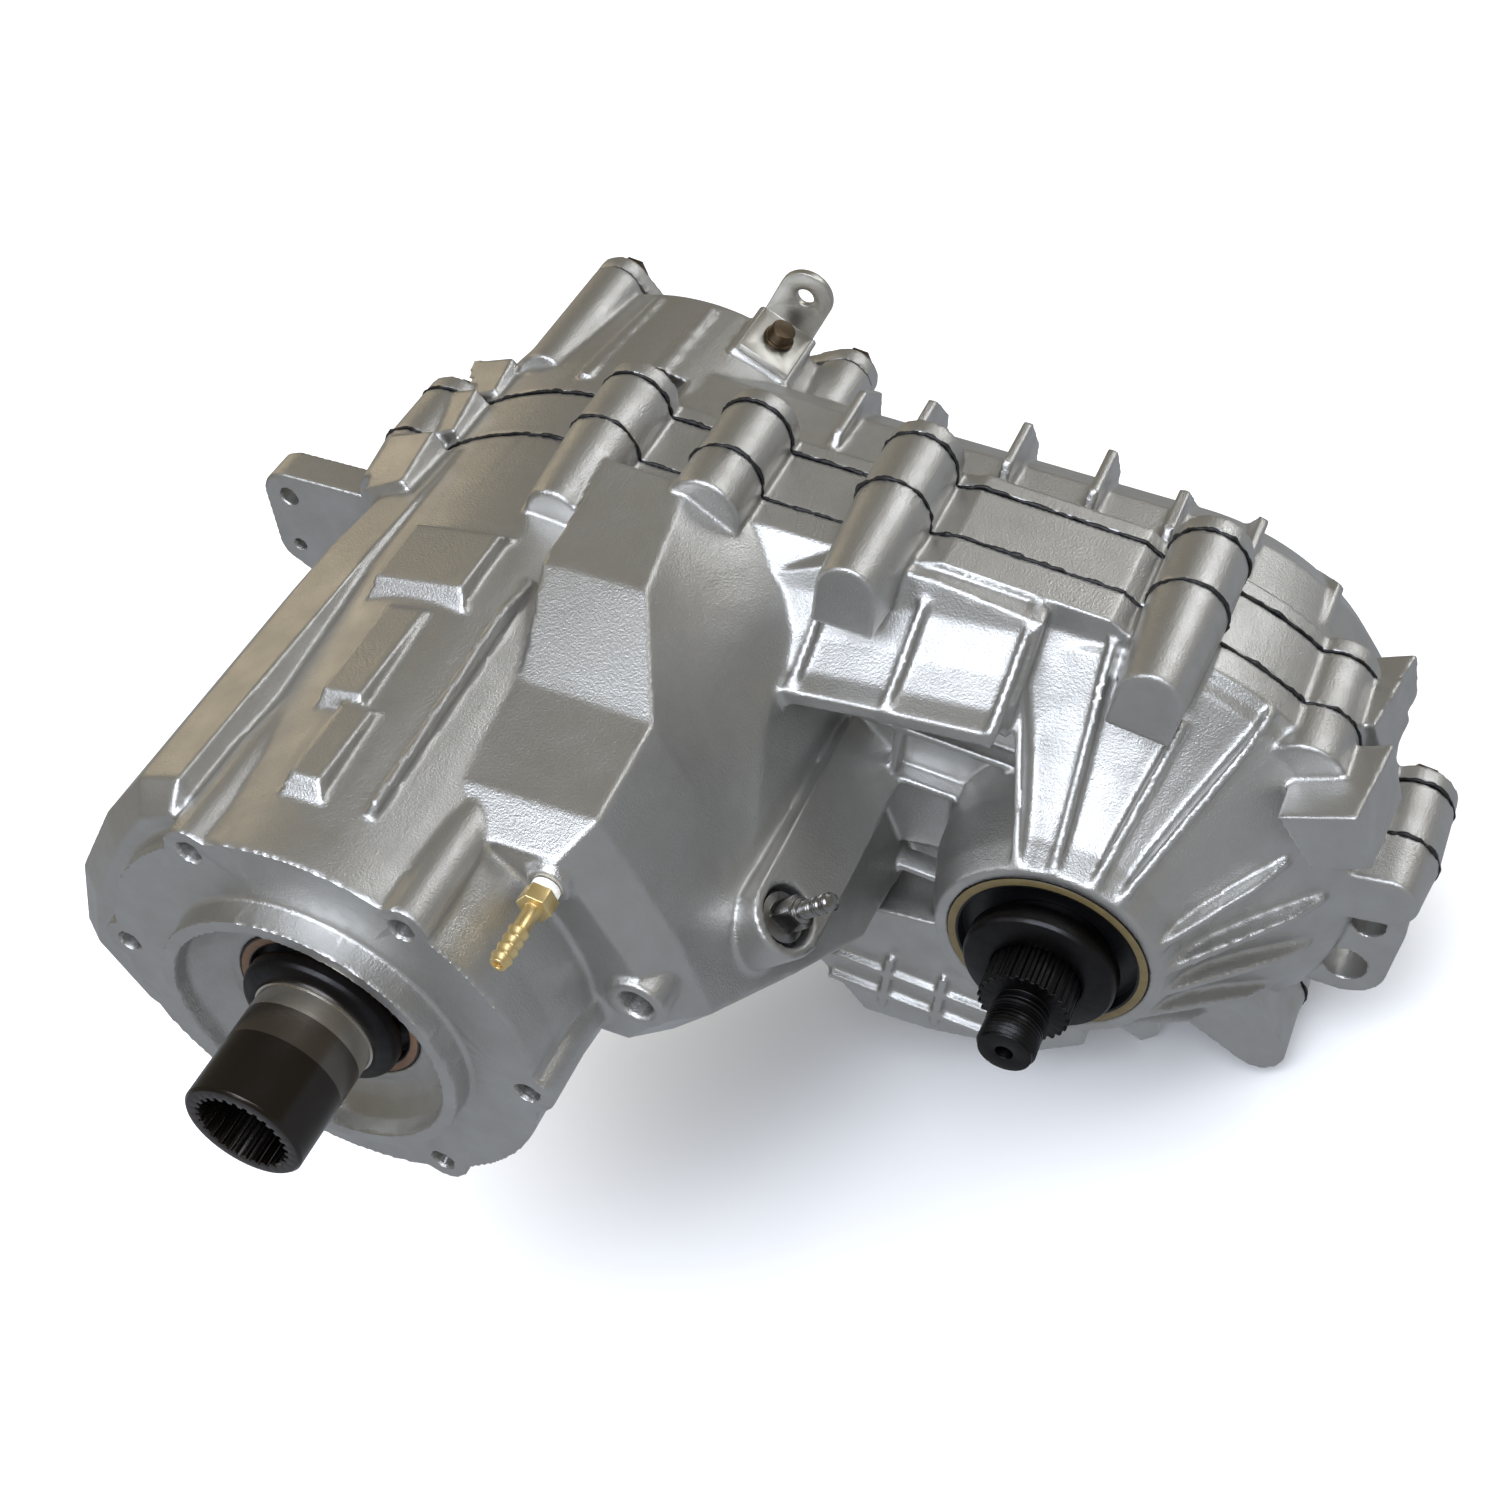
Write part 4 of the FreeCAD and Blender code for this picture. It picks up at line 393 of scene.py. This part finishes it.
class CaseFinish(bpy.types.PropertyGroup):
    """The sizes, finishes and light that a user would change"""
    cast_cell: bpy.props.FloatProperty(
        name="Cast cell", description="Mesh cell of the castings, which sets their finest fillet",
        default=1.1 * MM, min=0.8 * MM, max=4 * MM, precision=5, subtype="DISTANCE", unit="LENGTH")
    cast_roughness: bpy.props.FloatProperty(
        name="Cast roughness", description="Roughness of the blasted cast skin",
        default=0.41, min=0.1, max=0.9, subtype="FACTOR")
    bead_radius: bpy.props.FloatProperty(
        name="Bead radius", description="Radius of the sealant squeezed out of a seam",
        default=0.62 * MM, min=0.2 * MM, max=3 * MM, precision=5, subtype="DISTANCE", unit="LENGTH")
    fill: bpy.props.FloatProperty(
        name="Fill", description="Strength of the light from all round", default=0.32, min=0.0, max=2.0)
    floor_colour: bpy.props.FloatVectorProperty(
        name="Floor", description="Colour of the studio floor", size=4,
        default=linear("#FBFBFB"), min=0, max=1, subtype="COLOR")


class OBJECT_OT_castings(bpy.types.Operator):
    """Rounds and finishes the front, middle and rear castings and the tail retainer"""
    bl_idname = "transfer_case.castings"
    bl_label = "Castings"

    def execute(self, context):
        for node, (name, passes, triangles) in CASTINGS.items():
            cast_piece(node, name, passes, triangles)
        return {"FINISHED"}


# ---------------------------------------------------------------- sealant
BEAD_STEP = 0.9 * MM                        # spacing of the points along a bead
BEAD_WANDER = 2.6 * MM                      # how far a bead strays from its seam
BEAD_WANDER_SIZE = 3.5 * MM
BEAD_LUMP_SIZE = 7 * MM
BEAD_NOISE = (0.35, 0.72)                   # the noise at the thinnest and the thickest places
BEAD_SWELL = (0.55, 1.7)                    # those places of a bead, of its radius
BEAD_SIDES = 7
WANDER_SEED, LUMP_SEED = 3.0, 8.0
STATION_ERROR = 0.05 * MM                   # how far off its station a flat face may lie


def outer_loop(node, y):
    """The outer edge of a flat node's face at a station along Y, as a closed list of points."""
    work = bmesh.new()
    work.from_mesh(merged_copy(node))
    flat = {f for f in work.faces
            if abs(f.normal.y) > 0.99 and abs(f.calc_center_median().y - y) < STATION_ERROR}
    rim = [e for e in work.edges if sum(f in flat for f in e.link_faces) == 1]
    after = {}
    for edge in rim:
        a, b = edge.verts
        after.setdefault(a.index, []).append(b.index)
        after.setdefault(b.index, []).append(a.index)
    work.verts.ensure_lookup_table()
    loops, seen = [], set()
    for start in after:
        if start in seen:
            continue
        loop, here, last = [], start, None
        while here not in seen:
            seen.add(here)
            loop.append(work.verts[here].co.copy())
            ways = [n for n in after[here] if n != last]
            last, here = here, (ways[0] if ways else here)
        loops.append(loop)
    work.free()
    return max(loops, key=lambda loop: max(p.x for p in loop) - min(p.x for p in loop))


def bead_tree():
    """Sealant along a path: resampled, pushed about by noise, thick and thin by turns."""
    tree = bpy.data.node_groups.new("sealant_bead", "GeometryNodeTree")
    for name, kind in (("Path", "NodeSocketGeometry"), ("Radius", "NodeSocketFloat"),
                       ("Material", "NodeSocketMaterial")):
        tree.interface.new_socket(name, in_out="INPUT", socket_type=kind)
    tree.interface.new_socket("Bead", in_out="OUTPUT", socket_type="NodeSocketGeometry")
    given = add(tree, "NodeGroupInput")
    curve = add(tree, "GeometryNodeMeshToCurve", links={"Mesh": given.outputs["Path"]})
    fine = add(tree, "GeometryNodeResampleCurve", {"mode": "LENGTH"}, {"Curve": curve.outputs["Curve"]},
               Length=BEAD_STEP)
    where = add(tree, "GeometryNodeInputPosition").outputs["Position"]
    wander = add(tree, "ShaderNodeTexNoise", {"noise_dimensions": "4D"}, {"Vector": where}, W=WANDER_SEED,
                 Scale=1 / BEAD_WANDER_SIZE, Detail=3.0)
    centred = add(tree, "ShaderNodeVectorMath", {"operation": "SUBTRACT"}, {0: wander.outputs["Color"]})
    centred.inputs[1].default_value = (0.5, 0.5, 0.5)
    push = add(tree, "ShaderNodeVectorMath", {"operation": "SCALE"}, {0: centred.outputs["Vector"]},
               Scale=BEAD_WANDER)
    moved = add(tree, "GeometryNodeSetPosition",
                links={"Geometry": fine.outputs["Curve"], "Offset": push.outputs["Vector"]})
    lumps = add(tree, "ShaderNodeTexNoise", {"noise_dimensions": "4D"}, {"Vector": where}, W=LUMP_SEED,
                Scale=1 / BEAD_LUMP_SIZE, Detail=2.0)
    swell = add(tree, "ShaderNodeMapRange", links={"Value": lumps.outputs["Fac"]})
    swell.inputs["From Min"].default_value, swell.inputs["From Max"].default_value = BEAD_NOISE
    swell.inputs["To Min"].default_value, swell.inputs["To Max"].default_value = BEAD_SWELL
    section = add(tree, "GeometryNodeCurvePrimitiveCircle", Resolution=BEAD_SIDES,
                  links={"Radius": given.outputs["Radius"]})
    bead = add(tree, "GeometryNodeCurveToMesh",
               links={"Curve": moved.outputs["Geometry"], "Profile Curve": section.outputs["Curve"]})
    tree.links.new(swell.outputs["Result"], bead.inputs["Scale"])
    whole = add(tree, "GeometryNodeRealizeInstances", links={"Geometry": bead.outputs["Mesh"]})
    painted = add(tree, "GeometryNodeSetMaterial",
                  links={"Geometry": whole.outputs["Geometry"], "Material": given.outputs["Material"]})
    add(tree, "NodeGroupOutput", links={"Bead": painted.outputs["Geometry"]})
    return tree


def grown(tree, start, values):
    """The plain mesh that a geometry tree makes from a starting mesh. The values are set by socket name."""
    holder = bpy.data.objects.new("work", start)
    bpy.context.scene.collection.objects.link(holder)
    modifier = holder.modifiers.new("tree", "NODES")
    modifier.node_group = tree
    sockets = {item.name: item.identifier for item in tree.interface.items_tree if item.in_out == "INPUT"}
    for name, value in values.items():
        modifier[sockets[name]] = value
    mesh = bpy.data.meshes.new_from_object(holder.evaluated_get(bpy.context.evaluated_depsgraph_get()))
    holder.modifiers.remove(modifier)
    bpy.data.objects.remove(holder)
    return mesh


class OBJECT_OT_sealant(bpy.types.Operator):
    """Runs a squeezed-out bead of black sealant round both seams"""
    bl_idname = "transfer_case.sealant"
    bl_label = "Sealant"

    def execute(self, context):
        look = context.scene.transfer_case_finish
        tree = bead_tree()
        for node, (low, high), name in (("front_sealant", SEAM_FRONT, "front_bead"),
                                        ("rear_sealant", SEAM_REAR, "rear_bead")):
            points = outer_loop(node, low)
            path = bpy.data.meshes.new(name)
            path.from_pydata([(p.x, (low + high) / 2, p.z) for p in points],
                             [(i, (i + 1) % len(points)) for i in range(len(points))], [])
            mesh = grown(tree, path, {"Radius": look.bead_radius, "Material": Finishes.get("sealant")})
            for vert in mesh.vertices:      # a bead stays within the part's box
                vert.co = [min(max(c, a), b) for c, a, b in zip(vert.co, *CAD_BOX)]
            mesh.shade_smooth()
            new_piece(name, mesh, Finishes.get("sealant"), "case")
            NODES[node].data.materials.clear()
            NODES[node].data.materials.append(Finishes.get("sealant"))
        return {"FINISHED"}


# ---------------------------------------------------------------- machined pieces that keep their shape
# node: (finish, width of the broken edge in millimetres)
PLAIN_NODES = {
    "case_bolts": ("bronzed", 0.5), "tail_bolts": ("bronzed", 0.45), "bracket_bolt": ("bronzed", 0.35),
    "vent_fitting": ("brass", 0.25), "lifting_bracket": ("zinc", 0.6), "input_shaft": ("journal", 0.35),
    "input_slinger": ("phosphate", 0.3), "input_seal": ("input_lip", 0.3),
    "front_output_slinger": ("phosphate", 0.3), "front_output_seal": ("output_lip", 0.3),
    "rear_output_seal": ("rubber", 0.3), "main_shaft": ("ground", 0.35), "selector_ring": ("rubber", 0.2),
    "drain_plug": ("milled", 0.4), "fill_plug": ("milled", 0.4), "vent_tape": ("tape", 0.15),
}
INNER_FINISH = {"gear_steel": "gear", "bright_steel": "ground", "machined_aluminium": "milled",
                "chain_steel": "phosphate", "seal_rubber": "rubber"}


class OBJECT_OT_machined(bpy.types.Operator):
    """Breaks the edges of the visible machined pieces and finishes the hidden ones"""
    bl_idname = "transfer_case.machined"
    bl_label = "Machined pieces"

    def execute(self, context):
        bodies = frame["record"]["behaviour"]["bodies"]
        body_of = {node: body for body, nodes in bodies.items() for node in nodes}
        slot_of = {sub["node"]: sub["material_slot"] for sub in frame["record"]["subparts"]}
        for node, (finish, width) in PLAIN_NODES.items():
            new_piece(node + "_eased", eased_copy(node, width), Finishes.get(finish), body_of[node],
                      (node,))
        dressed = set(PLAIN_NODES) | set(CASTINGS) | {"front_sealant", "rear_sealant",
                                                      "front_output_shaft", "selector_shaft"}
        for node, solid in NODES.items():
            if node not in dressed:
                solid.data.materials.clear()
                solid.data.materials.append(Finishes.get(INNER_FINISH.get(slot_of[node], "ground")))
        return {"FINISHED"}


# ---------------------------------------------------------------- threads
OUTPUT_THREAD_LENGTH = 17 * MM
OUTPUT_THREAD_CUT = 0.9 * MM                # how far the stub is drawn in under its thread
OUTPUT_THREAD_ROOT = 0.85 * MM              # depth of the thread's root
OUTPUT_THREAD_LEAD = 1.4 * MM               # plain end before the ridge starts
OUTPUT_THREAD_LESS = 2.5 * MM               # how much shorter the ridge is than the drawn-in length
OUTPUT_NECK_START = 0.8 * MM                # the tip's edge keeps its radius up to here
OUTPUT_PITCH = 1.5 * MM
STUD_THREAD_CUT = 0.55 * MM
STUD_THREAD_ROOT = 0.5 * MM
STUD_THREAD_LEAD = 0.4 * MM
STUD_THREAD_LESS = 1 * MM
STUD_NECK_PAST = 4 * MM                     # how far the stud is drawn in past its threaded length
STUD_PITCH = 1.0 * MM
RIDGE_SIZE = 0.56                           # from the middle of a ridge to its crest, of the pitch
STEPS_PER_TURN = 40
SAME_RADIUS = 0.25 * MM                     # points this near to a radius belong to it


def thread_tree():
    """A screw thread along Z as one helical ridge with a V section."""
    tree = bpy.data.node_groups.new("screw_thread", "GeometryNodeTree")
    for name, kind in (("Start", "NodeSocketGeometry"), ("Root radius", "NodeSocketFloat"),
                       ("Length", "NodeSocketFloat"), ("Pitch", "NodeSocketFloat"),
                       ("Material", "NodeSocketMaterial")):
        tree.interface.new_socket(name, in_out="INPUT", socket_type=kind)
    tree.interface.new_socket("Thread", in_out="OUTPUT", socket_type="NodeSocketGeometry")
    given = add(tree, "NodeGroupInput")
    turns = add(tree, "ShaderNodeMath", {"operation": "DIVIDE"},
                {0: given.outputs["Length"], 1: given.outputs["Pitch"]})
    root = given.outputs["Root radius"]
    helix = add(tree, "GeometryNodeCurveSpiral", Resolution=STEPS_PER_TURN, links={
        "Rotations": turns.outputs[0], "Start Radius": root, "End Radius": root,
        "Height": given.outputs["Length"]})
    crest = add(tree, "ShaderNodeMath", {"operation": "MULTIPLY"}, {0: given.outputs["Pitch"]})
    crest.inputs[1].default_value = RIDGE_SIZE
    section = add(tree, "GeometryNodeCurvePrimitiveCircle", Resolution=4,
                  links={"Radius": crest.outputs[0]})
    ridge = add(tree, "GeometryNodeCurveToMesh",
                links={"Curve": helix.outputs["Curve"], "Profile Curve": section.outputs["Curve"]})
    ridge.inputs["Fill Caps"].default_value = True
    whole = add(tree, "GeometryNodeRealizeInstances", links={"Geometry": ridge.outputs["Mesh"]})
    painted = add(tree, "GeometryNodeSetMaterial",
                  links={"Geometry": whole.outputs["Geometry"], "Material": given.outputs["Material"]})
    add(tree, "NodeGroupOutput", links={"Thread": painted.outputs["Geometry"]})
    return tree


def thread(name, tree, root, length, pitch, start, direction, finish, body):
    """A thread of a root radius that starts at a place and runs in a direction, as a piece of its own."""
    mesh = grown(tree, bpy.data.meshes.new(name), {"Root radius": root, "Length": length, "Pitch": pitch,
                                                   "Material": Finishes.get(finish)})
    turn = Vector((0, 0, 1)).rotation_difference(Vector(direction)).to_matrix().to_4x4()
    mesh.transform(Matrix.Translation(start) @ turn)
    mesh.shade_smooth()
    mesh.set_sharp_from_angle(angle=THREAD_SHARP)
    return new_piece(name, mesh, Finishes.get(finish), body)


def narrowed(mesh, origin, direction, start, end, radius, by):
    """Draws points at a radius about an axis inwards between two stations, to make room for a thread."""
    axis = Vector(direction).normalized()
    for vert in mesh.vertices:
        offset = vert.co - origin
        along = offset.dot(axis)
        across = offset - axis * along
        if start <= along <= end and abs(across.length - radius) < SAME_RADIUS:
            vert.co = origin + axis * along + across * ((radius - by) / radius)


class OBJECT_OT_output(bpy.types.Operator):
    """Finishes the front output shaft with its thread"""
    bl_idname = "transfer_case.output"
    bl_label = "Front output"

    def execute(self, context):
        stub = MOUNTS["front_output_stub"]
        radius = stub["dims"]["r_mm"] * MM
        tip = node_span("front_output_shaft", 1)[0]
        origin = Vector((OUT_X, tip, OUT_Z))
        mesh = eased_copy("front_output_shaft", 0.3)
        narrowed(mesh, origin, ALONG, OUTPUT_NECK_START, OUTPUT_THREAD_LENGTH, radius, OUTPUT_THREAD_CUT)
        new_piece("front_output_shaft_eased", mesh, Finishes.get("phosphate"), "front_output",
                  ("front_output_shaft",))
        thread("front_output_thread", thread_tree(), radius - OUTPUT_THREAD_ROOT,
               OUTPUT_THREAD_LENGTH - OUTPUT_THREAD_LESS, OUTPUT_PITCH, origin + ALONG * OUTPUT_THREAD_LEAD,
               ALONG, "phosphate", "front_output")
        return {"FINISHED"}


class OBJECT_OT_selector(bpy.types.Operator):
    """Finishes the cross selector shaft and cuts the thread of its stud"""
    bl_idname = "transfer_case.selector"
    bl_label = "Selector"

    def execute(self, context):
        stud = MOUNTS["selector_stud"]
        axis = Vector(stud["axis"]).normalized()
        middle = Vector(stud["pos_m"])
        length = stud["dims"]["length_mm"] * MM
        radius = stud["dims"]["r_mm"] * MM
        mesh = eased_copy("selector_shaft", 0.25)
        narrowed(mesh, middle, axis, -length / 2, length / 2 + STUD_NECK_PAST, radius, STUD_THREAD_CUT)
        new_piece("selector_shaft_eased", mesh, Finishes.get("ground"), "selector",
                  ("selector_shaft",))
        thread("selector_thread", thread_tree(), radius - STUD_THREAD_ROOT, length - STUD_THREAD_LESS,
               STUD_PITCH, middle - axis * (length / 2 - STUD_THREAD_LEAD), axis,
               "ground", "selector")
        return {"FINISHED"}


# ---------------------------------------------------------------- stage
CAMERA_PLACE = Vector((0.5001, -0.3234, 0.4169))
CAMERA_FORWARD = Vector((-0.5381, 0.6203, -0.5707))
CAMERA_UP = Vector((0.0, 0.6771, 0.7359))
CAMERA_LENS = 51.25                         # focal length and sensor width, in millimetres
SENSOR = 36
FLOOR_REACH = 8.0                           # half the floor's side, in metres
TABLE_REACH = 3.0
TABLE_LIFT = 0.5 * MM                       # the table card lies just above the floor
TENT_R = 3.2
TENT_FOOT = -4                              # elevation of the tent's foot, in degrees
TENT_RINGS, TENT_SIDES = 10, 40
TENT_COLOUR = "#89857B"
TABLE_COLOUR = "#A4A8AF"
# name, place from the middle of the case, size in metres, watts, colour
LAMPS = (
    ("front_softbox", (0.45, -1.10, 1.45), (1.7, 1.1), 34, "#E8F0FF"),
    ("right_softbox", (1.15, 1.25, 1.05), (0.9, 0.9), 8, "#F7FAFF"),
    ("left_softbox", (-1.4, 0.9, 1.2), (0.5, 1.0), 2.0, "#FFE9C4"),
)
OVERHEAD_STRENGTH = 2.5                     # even light from above, which metal doesn't mirror
OVERHEAD_SPREAD = math.radians(80)


def square(centre, reach, height):
    """The corners of a level square about a place."""
    signs = ((-1, -1), (1, -1), (1, 1), (-1, 1))
    return [(centre.x + i * reach, centre.y + j * reach, height) for i, j in signs]


def overhead():
    """A very soft sun straight above, for the floor and the rough parts only."""
    data = bpy.data.lights.new("overhead", "SUN")
    data.energy = OVERHEAD_STRENGTH
    data.angle = OVERHEAD_SPREAD
    light = bpy.data.objects.new("overhead", data)
    light.visible_glossy = False
    bpy.context.scene.collection.objects.link(light)


def lamp(name, place, aim, size, power, colour):
    """A rectangular softbox that points at the case."""
    data = bpy.data.lights.new(name, "AREA")
    data.shape = "RECTANGLE"
    data.size, data.size_y = size
    data.energy = power
    data.color = colour
    light = bpy.data.objects.new(name, data)
    light.location = place
    light.rotation_euler = (Vector(aim) - Vector(place)).to_track_quat("-Z", "Y").to_euler()
    bpy.context.scene.collection.objects.link(light)


def stage_material(name, colour, strength=None):
    """A plain matt surface, or with a strength a self-lit card."""
    material = bpy.data.materials.new(name)
    material.use_nodes = True
    tree = material.node_tree
    tree.nodes.clear()
    if strength is None:
        shader = add(tree, "ShaderNodeBsdfPrincipled", Roughness=0.9)
        shader.inputs["Base Color"].default_value = colour
        shader.inputs["Specular IOR Level"].default_value = 0.0
        add(tree, "ShaderNodeOutputMaterial", links={"Surface": shader.outputs["BSDF"]})
    else:
        shader = add(tree, "ShaderNodeEmission", Strength=strength)
        shader.inputs["Color"].default_value = colour
        add(tree, "ShaderNodeOutputMaterial", links={"Surface": shader.outputs["Emission"]})
    return material


class OBJECT_OT_stage(bpy.types.Operator):
    """Sets the floor, the grey cards that the metal mirrors, the lamps, the world and the camera"""
    bl_idname = "transfer_case.stage"
    bl_label = "Stage"

    def execute(self, context):
        scene = context.scene
        look = scene.transfer_case_finish
        low, high = CAD_BOX
        centre = (Vector(low) + Vector(high)) / 2
        floor_mesh = bpy.data.meshes.new("floor")
        floor_mesh.from_pydata(square(Vector((0, 0, 0)), FLOOR_REACH, low[2]), [], [(0, 1, 2, 3)])
        floor = bpy.data.objects.new("floor", floor_mesh)
        scene.collection.objects.link(floor)
        floor_mesh.materials.append(stage_material("matt_floor", tuple(look.floor_colour)))
        self.cards(scene, centre, low[2])
        world = bpy.data.worlds.new("studio")
        scene.world = world
        world.use_nodes = True
        tree = world.node_tree
        tree.nodes.clear()
        path = add(tree, "ShaderNodeLightPath")
        seen = add(tree, "ShaderNodeMath", {"operation": "ADD", "use_clamp": True},
                   {0: path.outputs["Is Camera Ray"], 1: path.outputs["Is Glossy Ray"]})
        shown = add(tree, "ShaderNodeMath", {"operation": "ADD", "use_clamp": True},
                    {0: seen.outputs[0], 1: path.outputs["Is Transmission Ray"]})
        fill = add(tree, "ShaderNodeBackground", Strength=look.fill)
        fill.inputs["Color"].default_value = linear("#F4F5F7")
        backdrop = add(tree, "ShaderNodeBackground", Strength=1.0)
        backdrop.inputs["Color"].default_value = (1, 1, 1, 1)
        mixed = add(tree, "ShaderNodeMixShader",
                    links={"Fac": shown.outputs[0], 1: fill.outputs[0], 2: backdrop.outputs[0]})
        add(tree, "ShaderNodeOutputWorld", links={"Surface": mixed.outputs[0]})
        for name, place, size, watts, colour in LAMPS:
            lamp(name, centre + Vector(place), centre, size, watts, linear(colour)[:3])
        overhead()
        camera_data = bpy.data.cameras.new("camera")
        camera_data.lens = CAMERA_LENS
        camera_data.sensor_width = SENSOR
        camera = bpy.data.objects.new("camera", camera_data)
        camera.location = CAMERA_PLACE
        back = -CAMERA_FORWARD.normalized()
        right = CAMERA_UP.cross(back).normalized()
        camera.rotation_euler = Matrix((right, back.cross(right), back)).transposed().to_euler()
        scene.collection.objects.link(camera)
        scene.camera = camera
        scene.view_settings.view_transform = "Standard"
        return {"FINISHED"}

    def cards(self, scene, centre, floor_z):
        """Grey cards round and under the case that only reflections see, so that metal isn't white."""
        points, faces = [], []
        for j in range(TENT_RINGS + 1):
            rise = math.radians(TENT_FOOT + (90 - TENT_FOOT) * j / TENT_RINGS)
            for i in range(TENT_SIDES):
                a = 2 * math.pi * i / TENT_SIDES
                points.append((centre.x + TENT_R * math.cos(rise) * math.cos(a),
                               centre.y + TENT_R * math.cos(rise) * math.sin(a),
                               centre.z + TENT_R * math.sin(rise)))
        for j in range(TENT_RINGS):
            lower, upper = j * TENT_SIDES, (j + 1) * TENT_SIDES
            for i in range(TENT_SIDES):
                k = (i + 1) % TENT_SIDES
                faces.append((lower + i, lower + k, upper + k, upper + i))
        under = square(centre, TABLE_REACH, floor_z + TABLE_LIFT)
        for name, corners, quads, colour in (("tent", points, faces, TENT_COLOUR),
                                             ("table_card", under, [(0, 1, 2, 3)], TABLE_COLOUR)):
            mesh = bpy.data.meshes.new(name)
            mesh.from_pydata(corners, [], quads)
            card = bpy.data.objects.new(name, mesh)
            scene.collection.objects.link(card)
            mesh.materials.append(stage_material(name, linear(colour), 1.0))
            card.visible_camera = False
            card.visible_diffuse = False
            card.visible_shadow = False
            card.visible_transmission = False


class VIEW3D_PT_transfer_case(bpy.types.Panel):
    """Lists the settings and the steps of the dressing"""
    bl_label = "Transfer case"
    bl_idname = "VIEW3D_PT_transfer_case"
    bl_space_type = "VIEW_3D"
    bl_region_type = "UI"
    bl_category = "Transfer case"

    def draw(self, context):
        for name in ("cast_cell", "cast_roughness", "bead_radius", "fill", "floor_colour"):
            self.layout.prop(context.scene.transfer_case_finish, name)
        for step in STEPS:
            self.layout.operator(step.bl_idname)


STEPS = (OBJECT_OT_castings, OBJECT_OT_sealant, OBJECT_OT_machined, OBJECT_OT_output, OBJECT_OT_selector,
         OBJECT_OT_stage)
CLASSES = (CaseFinish,) + STEPS + (VIEW3D_PT_transfer_case,)


def register():
    for cls in CLASSES:
        bpy.utils.register_class(cls)
    bpy.types.Scene.transfer_case_finish = bpy.props.PointerProperty(type=CaseFinish)


def unregister():
    del bpy.types.Scene.transfer_case_finish
    for cls in reversed(CLASSES):
        bpy.utils.unregister_class(cls)


def main():
    register()
    for step in STEPS:
        group, name = step.bl_idname.split(".")
        getattr(getattr(bpy.ops, group), name)()


if __name__ == "__main__":
    main()
